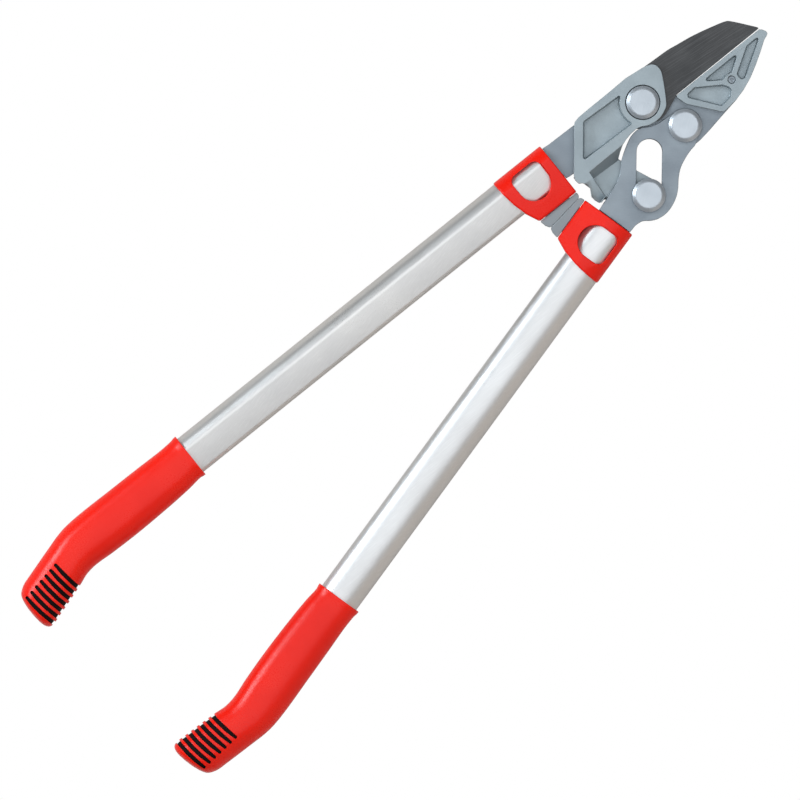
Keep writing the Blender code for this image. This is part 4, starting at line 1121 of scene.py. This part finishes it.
def make_lever_plate(edge):
    """Long ground plate under the head."""
    outline = centred(lever_plate_outline())
    plate = prism("plate", outline, MID_LOW, MID_HIGH)
    drill_pivots(plate, BLADE_PIVOT, HANDLE_PIVOT)
    drill_tang(plate, -1)
    drill(plate, SCREW_SHANK_RADIUS + PIN_CLEARANCE, ANVIL_SCREW)
    drill(plate, ANVIL_DOWEL_BORE, ANVIL_DOWEL, low=MID_LOW + 0.001)
    refine(in_row_frame(plate), edge, 2, 32)
    publish(plate, "anvil_lever_plate", "anvil_lever", plate_steel())


def make_power_plates(edge):
    """Slotted front plate with its root and tang, and the rear plate."""
    lever = prism("power", centred(power_outline()), FRONT_LOW, FRONT_HIGH)
    join(lever, prism("root", centred(root_outline()), MID_LOW, FRONT_LOW + 0.002))
    w = TANG_HALF_WIDTH / MM
    low = MID_HEIGHT - TANG_HALF_DEPTH
    high = MID_HEIGHT + TANG_HALF_DEPTH
    for top, bottom, deep, inset in ((24.0, MID_LOW + 0.0002, high, 0.0),
                                     (20.0, low, MID_HEIGHT, -0.05)):
        points = [handle_point(w, top, 1), handle_point(w, TANG_BOTTOM / MM, 1)]
        points += [handle_point(-w, TANG_BOTTOM / MM, 1), handle_point(-w, top, 1)]
        join(lever, prism("tang", centred(grown(points, inset)), bottom, deep))
    rear = prism("rear", centred(power_outline()), REAR_LOW, REAR_HIGH)
    for plate in (lever, rear):
        drill_pivots(plate, HANDLE_PIVOT)
        cut(plate, stadium(SLOT_INNER_END, DRIVE_PIN, SLOT_HALF_WIDTH, 0, CUT_TOP))
        places = [handle_point(s, t, 1) for s, t in REAR_RIVETS]
        drill(plate, RIVET_RADIUS + PIN_CLEARANCE, *places, high=MID_HIGH - 0.0006)
    drill_tang(lever, 1)
    for plate, name in ((lever, "power_lever"), (rear, "power_lever_rear_plate")):
        refine(in_row_frame(plate), edge, 2, 32)
        publish(plate, name, "power_lever", plate_steel())


def make_carrier(edge):
    """Carrier casting with its pockets and stepped down arm."""
    carrier = prism("carrier", centred(carrier_outline()), FRONT_LOW, CASTING_TOP)
    arm = prism("arm", grow_mm(arm_outline(), -0.05), MID_LOW, MID_HIGH + 0.0012)
    join(carrier, arm)
    cut(carrier, make_step())
    beside = grow_mm(power_outline(), 0.5)
    cut(carrier, prism("beside", beside, MID_HIGH, CASTING_TOP + 0.002))
    rebate = grow_mm(blade_outline(), 0.35)
    cut(carrier, prism("rebate", rebate, FRONT_LOW - 0.001, FRONT_HIGH + LAYER_GAP))
    drill(carrier, HEAD_RADIUS + 0.0006, BLADE_PIVOT)
    floor = FRONT_LOW + CARRIER_POCKET_FLOOR
    pocket = arc(BLADE_PIVOT, 18.4, 284, 210, 8)
    pocket += [(-36.8, -41.5), (-17.6, -61.8)]
    shape = centred(rounded(pocket, 1.0, 6))
    cut(carrier, prism("pocket", shape, floor, CASTING_TOP + 0.001, 0.0009))
    drill_pivots(carrier, DRIVE_PIN)
    weld(carrier, 0.00025)
    refine(in_row_frame(carrier), edge, 3, 34)
    publish(carrier, "blade_carrier", "blade_lever", cast_alloy())


def head_profile():
    """Half section of a broadly chamfered head on its shank."""
    low = FRONT_HIGH + PIN_CLEARANCE
    high = low + HEAD_HEIGHT
    r = HEAD_RADIUS
    end = NUT_LOW + 0.0024
    profile = [(0.0, end), (SHANK_RADIUS - 0.0006, end), (SHANK_RADIUS, end + 0.0006)]
    profile += [(SHANK_RADIUS, low), (r - 0.0004, low), (r, low + 0.0004)]
    for k in range(6):
        turn = math.radians(65 * k / 5)
        profile.append((r - 0.0009 * (1 - math.cos(turn)),
                        high - 0.0023 + 0.0009 * math.sin(turn)))
    for k in range(9):
        share = k / 8
        fall = 0.0014 * (1 - share) ** 1.7
        profile.append((r - 0.0008 - 0.0028 * share, high - fall))
    profile.append((0.0, high))
    return profile


def make_heads():
    """Round heads of the two pivots and the drive pin."""
    for centre, name, _, _, body in PIVOTS:
        head = in_row_frame(lathe("head", head_profile(), centre))
        refine(head, 0.0, 1, 50)
        publish(head, name, body, bright_steel())


def nut_profile():
    """Half section of a closed nut."""
    low = NUT_LOW
    bore = SHANK_RADIUS + PIN_CLEARANCE
    r = NUT_RADIUS
    profile = [(0.0, low), (r - 0.0012, low), (r, low + 0.0012), (r, NUT_TOP - 0.0004)]
    profile += [(r - 0.0004, NUT_TOP), (bore, NUT_TOP), (bore, low + 0.002)]
    return profile + [(0.0, low + 0.002)]


def make_nuts(edge):
    """Closed round nuts with two flats, under the tool."""
    for centre, _, name, _, body in PIVOTS:
        nut = lathe("nut", nut_profile(), centre)
        x = centre[0] * MM
        y = centre[1] * MM
        for sign in (-1, 1):
            near, far = sorted((y + sign * 0.0085, y + sign * 0.0120))
            flat = [(x - 0.02, near), (x + 0.02, near), (x + 0.02, far), (x - 0.02, far)]
            cut(nut, prism("flat", flat, NUT_LOW - 0.001, NUT_TOP + 0.001))
        refine(in_row_frame(nut), edge, 2, 32)
        publish(nut, name, body, plate_steel())


def make_rings():
    """Washers, spacer, bush and roller."""
    for name, centre, outer, low, high, body in RINGS:
        bore = ROLLER_BORE if name == "drive_roller" else SHANK_RADIUS + PIN_CLEARANCE
        c = 0.0003
        profile = [(bore, low), (outer - c, low), (outer, low + c)]
        profile += [(outer, high - c), (outer - c, high), (bore, high)]
        ring = in_row_frame(lathe("ring", profile, centre))
        refine(ring, 0.0, 1, 32)
        dull = name in ("blade_pivot_spacer", "drive_pin_rear_bush")
        material = plate_steel() if dull else bright_steel()
        publish(ring, name, body, material)


def make_anvil_screw():
    """Socket screw in the anvil's boss."""
    high = ANVIL_TOP - 0.0004
    under = FRONT_LOW + 0.0032
    r = SCREW_HEAD_RADIUS
    shank = SCREW_SHANK_RADIUS
    profile = [(0.0, MID_LOW + 0.0004), (shank, MID_LOW + 0.0004), (shank, under)]
    profile += [(r, under), (r, high - 0.0003), (r - 0.0003, high), (0.0, high)]
    screw = lathe("screw", profile, ANVIL_SCREW)
    centre = (ANVIL_SCREW[0] * MM, ANVIL_SCREW[1] * MM)
    socket = arc(centre, 0.0016, 0, 360, 6, 1)[:-1]
    cut(screw, prism("socket", socket, high - 0.002, high + 0.001))
    refine(in_row_frame(screw), 0.0001, 2, 32)
    publish(screw, "anvil_screw", "anvil_lever", plate_steel())


def make_stop_blocks(edge):
    """Grey stop blocks with rounded edges."""
    side_edge = 0.0278
    low = -0.0113
    high = 0.0182
    points = [(side_edge, -0.0154), (0.0329, -0.0143)]
    points += [(meeting_line(low) - 0.0006, -0.0127), (meeting_line(low), low)]
    points += [(meeting_line(high), high), (meeting_line(high) - 0.0008, 0.0192)]
    points += [(0.0305, 0.0198), (side_edge, 0.0200)]
    block = prism("stop", rounded(points, 0.0012, 6), -0.006, 0.006)
    tongue = [(0.0215, -0.009), (0.0300, -0.009), (0.0300, 0.013), (0.0215, 0.013)]
    join(block, prism("tongue", tongue, -0.005, 0.005))
    refine(block, edge, 3, 32)
    publish_pair(block, "stop_block", lambda side: grey_plastic())


def dress_small_parts():
    """Hidden plugs, dowels and rivets keep their CAD shape with a proper finish."""
    finishes = {"rivet": bright_steel, "dowel": bright_steel, "insert": grey_plastic}
    for name, item in frame["nodes"].items():
        for word, finish in finishes.items():
            if word in name:
                item.data.materials.clear()
                item.data.materials.append(finish())
                item.data.shade_smooth()
                item.data.set_sharp_from_angle(angle=math.radians(35))

# Stage.


def make_floor(strength):
    """Plain pale floor: lit evenly to the eye, and dim in the tool's reflections."""
    bpy.ops.mesh.primitive_plane_add(size=8.0, location=(0, 0, -0.0004))
    floor = bpy.context.object
    floor.name = "floor"
    material = bpy.data.materials.new("Pale floor")
    material.use_nodes = True
    shader = material.node_tree.nodes["Principled BSDF"]
    shader.inputs["Base Color"].default_value = (0.74, 0.69, 0.64, 1.0)
    shader.inputs["Roughness"].default_value = 0.9
    shader.inputs["Specular IOR Level"].default_value = 0.1
    nodes = material.node_tree.nodes
    links = material.node_tree.links
    glow = nodes.new("ShaderNodeEmission")
    glow.inputs["Strength"].default_value = strength
    seen = nodes.new("ShaderNodeLightPath")
    blend = nodes.new("ShaderNodeMixShader")
    links.new(seen.outputs["Is Camera Ray"], blend.inputs[0])
    links.new(shader.outputs[0], blend.inputs[1])
    links.new(glow.outputs[0], blend.inputs[2])
    links.new(blend.outputs[0], nodes["Material Output"].inputs["Surface"])
    floor.data.materials.append(material)
    return floor


def make_light(name, place, aim, size, power, colour):
    """Soft area light aimed at a point."""
    data = bpy.data.lights.new(name, "AREA")
    data.shape = "DISK"
    data.size = size
    data.energy = power
    data.color = colour
    lamp = bpy.data.objects.new(name, data)
    bpy.context.scene.collection.objects.link(lamp)
    lamp.location = place
    lamp.rotation_euler = (Vector(aim) - Vector(place)).to_track_quat("-Z", "Y").to_euler()
    return lamp


def make_camera():
    """Long lens straight above, jaws towards the upper right."""
    data = bpy.data.cameras.new("camera")
    data.sensor_width = 36.0
    data.lens = data.sensor_width * CAMERA_HEIGHT / FRAMED_WIDTH
    data.clip_end = 50.0
    camera = bpy.data.objects.new("camera", data)
    bpy.context.scene.collection.objects.link(camera)
    x, y = FRAMED_CENTRE
    camera.location = (x, y + DRAWING_SHIFT, CAMERA_HEIGHT)
    camera.rotation_euler = (0.0, 0.0, CAMERA_ROLL)
    bpy.context.scene.camera = camera
    return camera


def make_stage(settings):
    """Floor, soft lights, pale surroundings and the camera."""
    make_floor(settings.floor_glow)
    make_light("key", (-1.7, -0.7, 1.2), (0, 0, 0), 0.9, settings.key_power, (0.88, 0.95, 1.0))
    make_light("warm", (1.9, 0.1, 0.8), (0, 0, 0), 2.4, settings.warm_power,
               (1.0, 0.84, 0.70))
    make_light("top", (-0.1, 0.3, 2.4), (0, 0, 0), 3.2, settings.top_power, (0.96, 0.98, 1.0))
    world = bpy.data.worlds.new("surroundings")
    world.use_nodes = True
    background = world.node_tree.nodes["Background"]
    background.inputs["Color"].default_value = (1.0, 1.0, 1.0, 1.0)
    background.inputs["Strength"].default_value = settings.sky
    scene = bpy.context.scene
    scene.world = world
    scene.view_settings.view_transform = "Standard"
    scene.view_settings.look = "None"
    make_camera()

# Add-on.


class LopperEdges(bpy.types.PropertyGroup):
    """How far the edges are rounded."""

    casting: FloatProperty(name="Castings", description="Edge rounding of the castings",
                           default=0.0004, unit="LENGTH")
    plate: FloatProperty(name="Plates", description="Edge rounding of the steel plates",
                         default=0.0004, unit="LENGTH")
    blade: FloatProperty(name="Blade", description="Edge rounding of the blade",
                         default=0.0002, unit="LENGTH")
    plastic: FloatProperty(name="Plastic", description="Edge rounding of the mouldings",
                           default=0.0007, unit="LENGTH")
    groove: FloatProperty(name="Grooves", description="Edge rounding of the grooves",
                          default=0.00015, unit="LENGTH")


class LopperStage(bpy.types.PropertyGroup):
    """Lights and surroundings."""

    key_power: FloatProperty(name="Key", description="Power of the cool main light",
                             default=26.0, unit="POWER")
    warm_power: FloatProperty(name="Warm", description="Power of the warm fill light",
                              default=7.0, unit="POWER")
    top_power: FloatProperty(name="Top", description="Power of the light overhead",
                             default=35.0, unit="POWER")
    sky: FloatProperty(name="Surroundings", description="Brightness all round",
                       default=0.18)
    floor_glow: FloatProperty(name="Floor glow", description="Extra floor brightness",
                              default=1.0)


class LOPPER_OT_tubes(bpy.types.Operator):
    """Make both handle tubes"""

    bl_idname = "lopper.tubes"
    bl_label = "Handle tubes"

    def execute(self, context):
        make_tubes()
        return {"FINISHED"}


class LOPPER_OT_collars(bpy.types.Operator):
    """Make both red collars"""

    bl_idname = "lopper.collars"
    bl_label = "Collars"

    def execute(self, context):
        make_collars(context.scene.lopper_edges.plastic)
        return {"FINISHED"}


class LOPPER_OT_stop_blocks(bpy.types.Operator):
    """Make both grey stop blocks"""

    bl_idname = "lopper.stop_blocks"
    bl_label = "Stop blocks"

    def execute(self, context):
        make_stop_blocks(context.scene.lopper_edges.plastic)
        return {"FINISHED"}


class LOPPER_OT_grips(bpy.types.Operator):
    """Make both red grips"""

    bl_idname = "lopper.grips"
    bl_label = "Grips"

    def execute(self, context):
        make_grips(context.scene.lopper_edges.groove)
        return {"FINISHED"}


class LOPPER_OT_cores(bpy.types.Operator):
    """Make the dark cores in the grips"""

    bl_idname = "lopper.cores"
    bl_label = "Grip cores"

    def execute(self, context):
        make_cores()
        return {"FINISHED"}


class LOPPER_OT_blade(bpy.types.Operator):
    """Make the coated blade"""

    bl_idname = "lopper.blade"
    bl_label = "Blade"

    def execute(self, context):
        make_blade(context.scene.lopper_edges.blade)
        return {"FINISHED"}


class LOPPER_OT_anvil(bpy.types.Operator):
    """Make the anvil casting"""

    bl_idname = "lopper.anvil"
    bl_label = "Anvil"

    def execute(self, context):
        make_anvil(context.scene.lopper_edges.casting)
        return {"FINISHED"}


class LOPPER_OT_anvil_screw(bpy.types.Operator):
    """Make the socket screw in the anvil"""

    bl_idname = "lopper.anvil_screw"
    bl_label = "Anvil screw"

    def execute(self, context):
        make_anvil_screw()
        return {"FINISHED"}


class LOPPER_OT_carrier(bpy.types.Operator):
    """Make the carrier casting"""

    bl_idname = "lopper.carrier"
    bl_label = "Blade carrier"

    def execute(self, context):
        make_carrier(context.scene.lopper_edges.casting)
        return {"FINISHED"}


class LOPPER_OT_lever_plate(bpy.types.Operator):
    """Make the long plate under the head"""

    bl_idname = "lopper.lever_plate"
    bl_label = "Lever plate"

    def execute(self, context):
        make_lever_plate(context.scene.lopper_edges.plate)
        return {"FINISHED"}


class LOPPER_OT_power_plates(bpy.types.Operator):
    """Make the slotted front and rear plates"""

    bl_idname = "lopper.power_plates"
    bl_label = "Power lever"

    def execute(self, context):
        make_power_plates(context.scene.lopper_edges.plate)
        return {"FINISHED"}


class LOPPER_OT_heads(bpy.types.Operator):
    """Make the three chamfered heads"""

    bl_idname = "lopper.heads"
    bl_label = "Pivot heads"

    def execute(self, context):
        make_heads()
        return {"FINISHED"}


class LOPPER_OT_nuts(bpy.types.Operator):
    """Make the three closed nuts"""

    bl_idname = "lopper.nuts"
    bl_label = "Nuts"

    def execute(self, context):
        make_nuts(context.scene.lopper_edges.plate)
        return {"FINISHED"}


class LOPPER_OT_rings(bpy.types.Operator):
    """Make the washers, spacer, bush and roller"""

    bl_idname = "lopper.rings"
    bl_label = "Washers and roller"

    def execute(self, context):
        make_rings()
        return {"FINISHED"}


class LOPPER_OT_small_parts(bpy.types.Operator):
    """Dress the plugs, dowels and rivets"""

    bl_idname = "lopper.small_parts"
    bl_label = "Small parts"

    def execute(self, context):
        dress_small_parts()
        return {"FINISHED"}


class LOPPER_OT_stage(bpy.types.Operator):
    """Make the floor, the lights and the camera"""

    bl_idname = "lopper.stage"
    bl_label = "Stage"

    def execute(self, context):
        make_stage(context.scene.lopper_stage)
        return {"FINISHED"}

OPERATORS = (
    LOPPER_OT_tubes,
    LOPPER_OT_collars,
    LOPPER_OT_stop_blocks,
    LOPPER_OT_grips,
    LOPPER_OT_cores,
    LOPPER_OT_blade,
    LOPPER_OT_anvil,
    LOPPER_OT_anvil_screw,
    LOPPER_OT_carrier,
    LOPPER_OT_lever_plate,
    LOPPER_OT_power_plates,
    LOPPER_OT_heads,
    LOPPER_OT_nuts,
    LOPPER_OT_rings,
    LOPPER_OT_small_parts,
    LOPPER_OT_stage,
)


class LOPPER_PT_panel(bpy.types.Panel):
    """Sizes and one button for each group of pieces."""

    bl_label = "Anvil Lopper"
    bl_space_type = "VIEW_3D"
    bl_region_type = "UI"
    bl_category = "Lopper"

    def draw(self, context):
        layout = self.layout
        for group in (context.scene.lopper_edges, context.scene.lopper_stage):
            box = layout.box()
            for name in group.__annotations__:
                box.prop(group, name)
        for operator in OPERATORS:
            layout.operator(operator.bl_idname)

CLASSES = (LopperEdges, LopperStage, *OPERATORS, LOPPER_PT_panel)


def register():
    """Register the classes and the scene's settings."""
    for item in CLASSES:
        bpy.utils.register_class(item)
    bpy.types.Scene.lopper_edges = PointerProperty(type=LopperEdges)
    bpy.types.Scene.lopper_stage = PointerProperty(type=LopperStage)


def unregister():
    """Take the settings and the classes away again."""
    del bpy.types.Scene.lopper_stage
    del bpy.types.Scene.lopper_edges
    for item in reversed(CLASSES):
        bpy.utils.unregister_class(item)


def main():
    """Make every piece and the stage."""
    register()
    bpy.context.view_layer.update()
    bpy.ops.lopper.tubes()
    bpy.ops.lopper.collars()
    bpy.ops.lopper.stop_blocks()
    bpy.ops.lopper.grips()
    bpy.ops.lopper.cores()
    bpy.ops.lopper.blade()
    bpy.ops.lopper.anvil()
    bpy.ops.lopper.anvil_screw()
    bpy.ops.lopper.carrier()
    bpy.ops.lopper.lever_plate()
    bpy.ops.lopper.power_plates()
    bpy.ops.lopper.heads()
    bpy.ops.lopper.nuts()
    bpy.ops.lopper.rings()
    bpy.ops.lopper.small_parts()
    bpy.ops.lopper.stage()


if __name__ == "__main__":
    main()
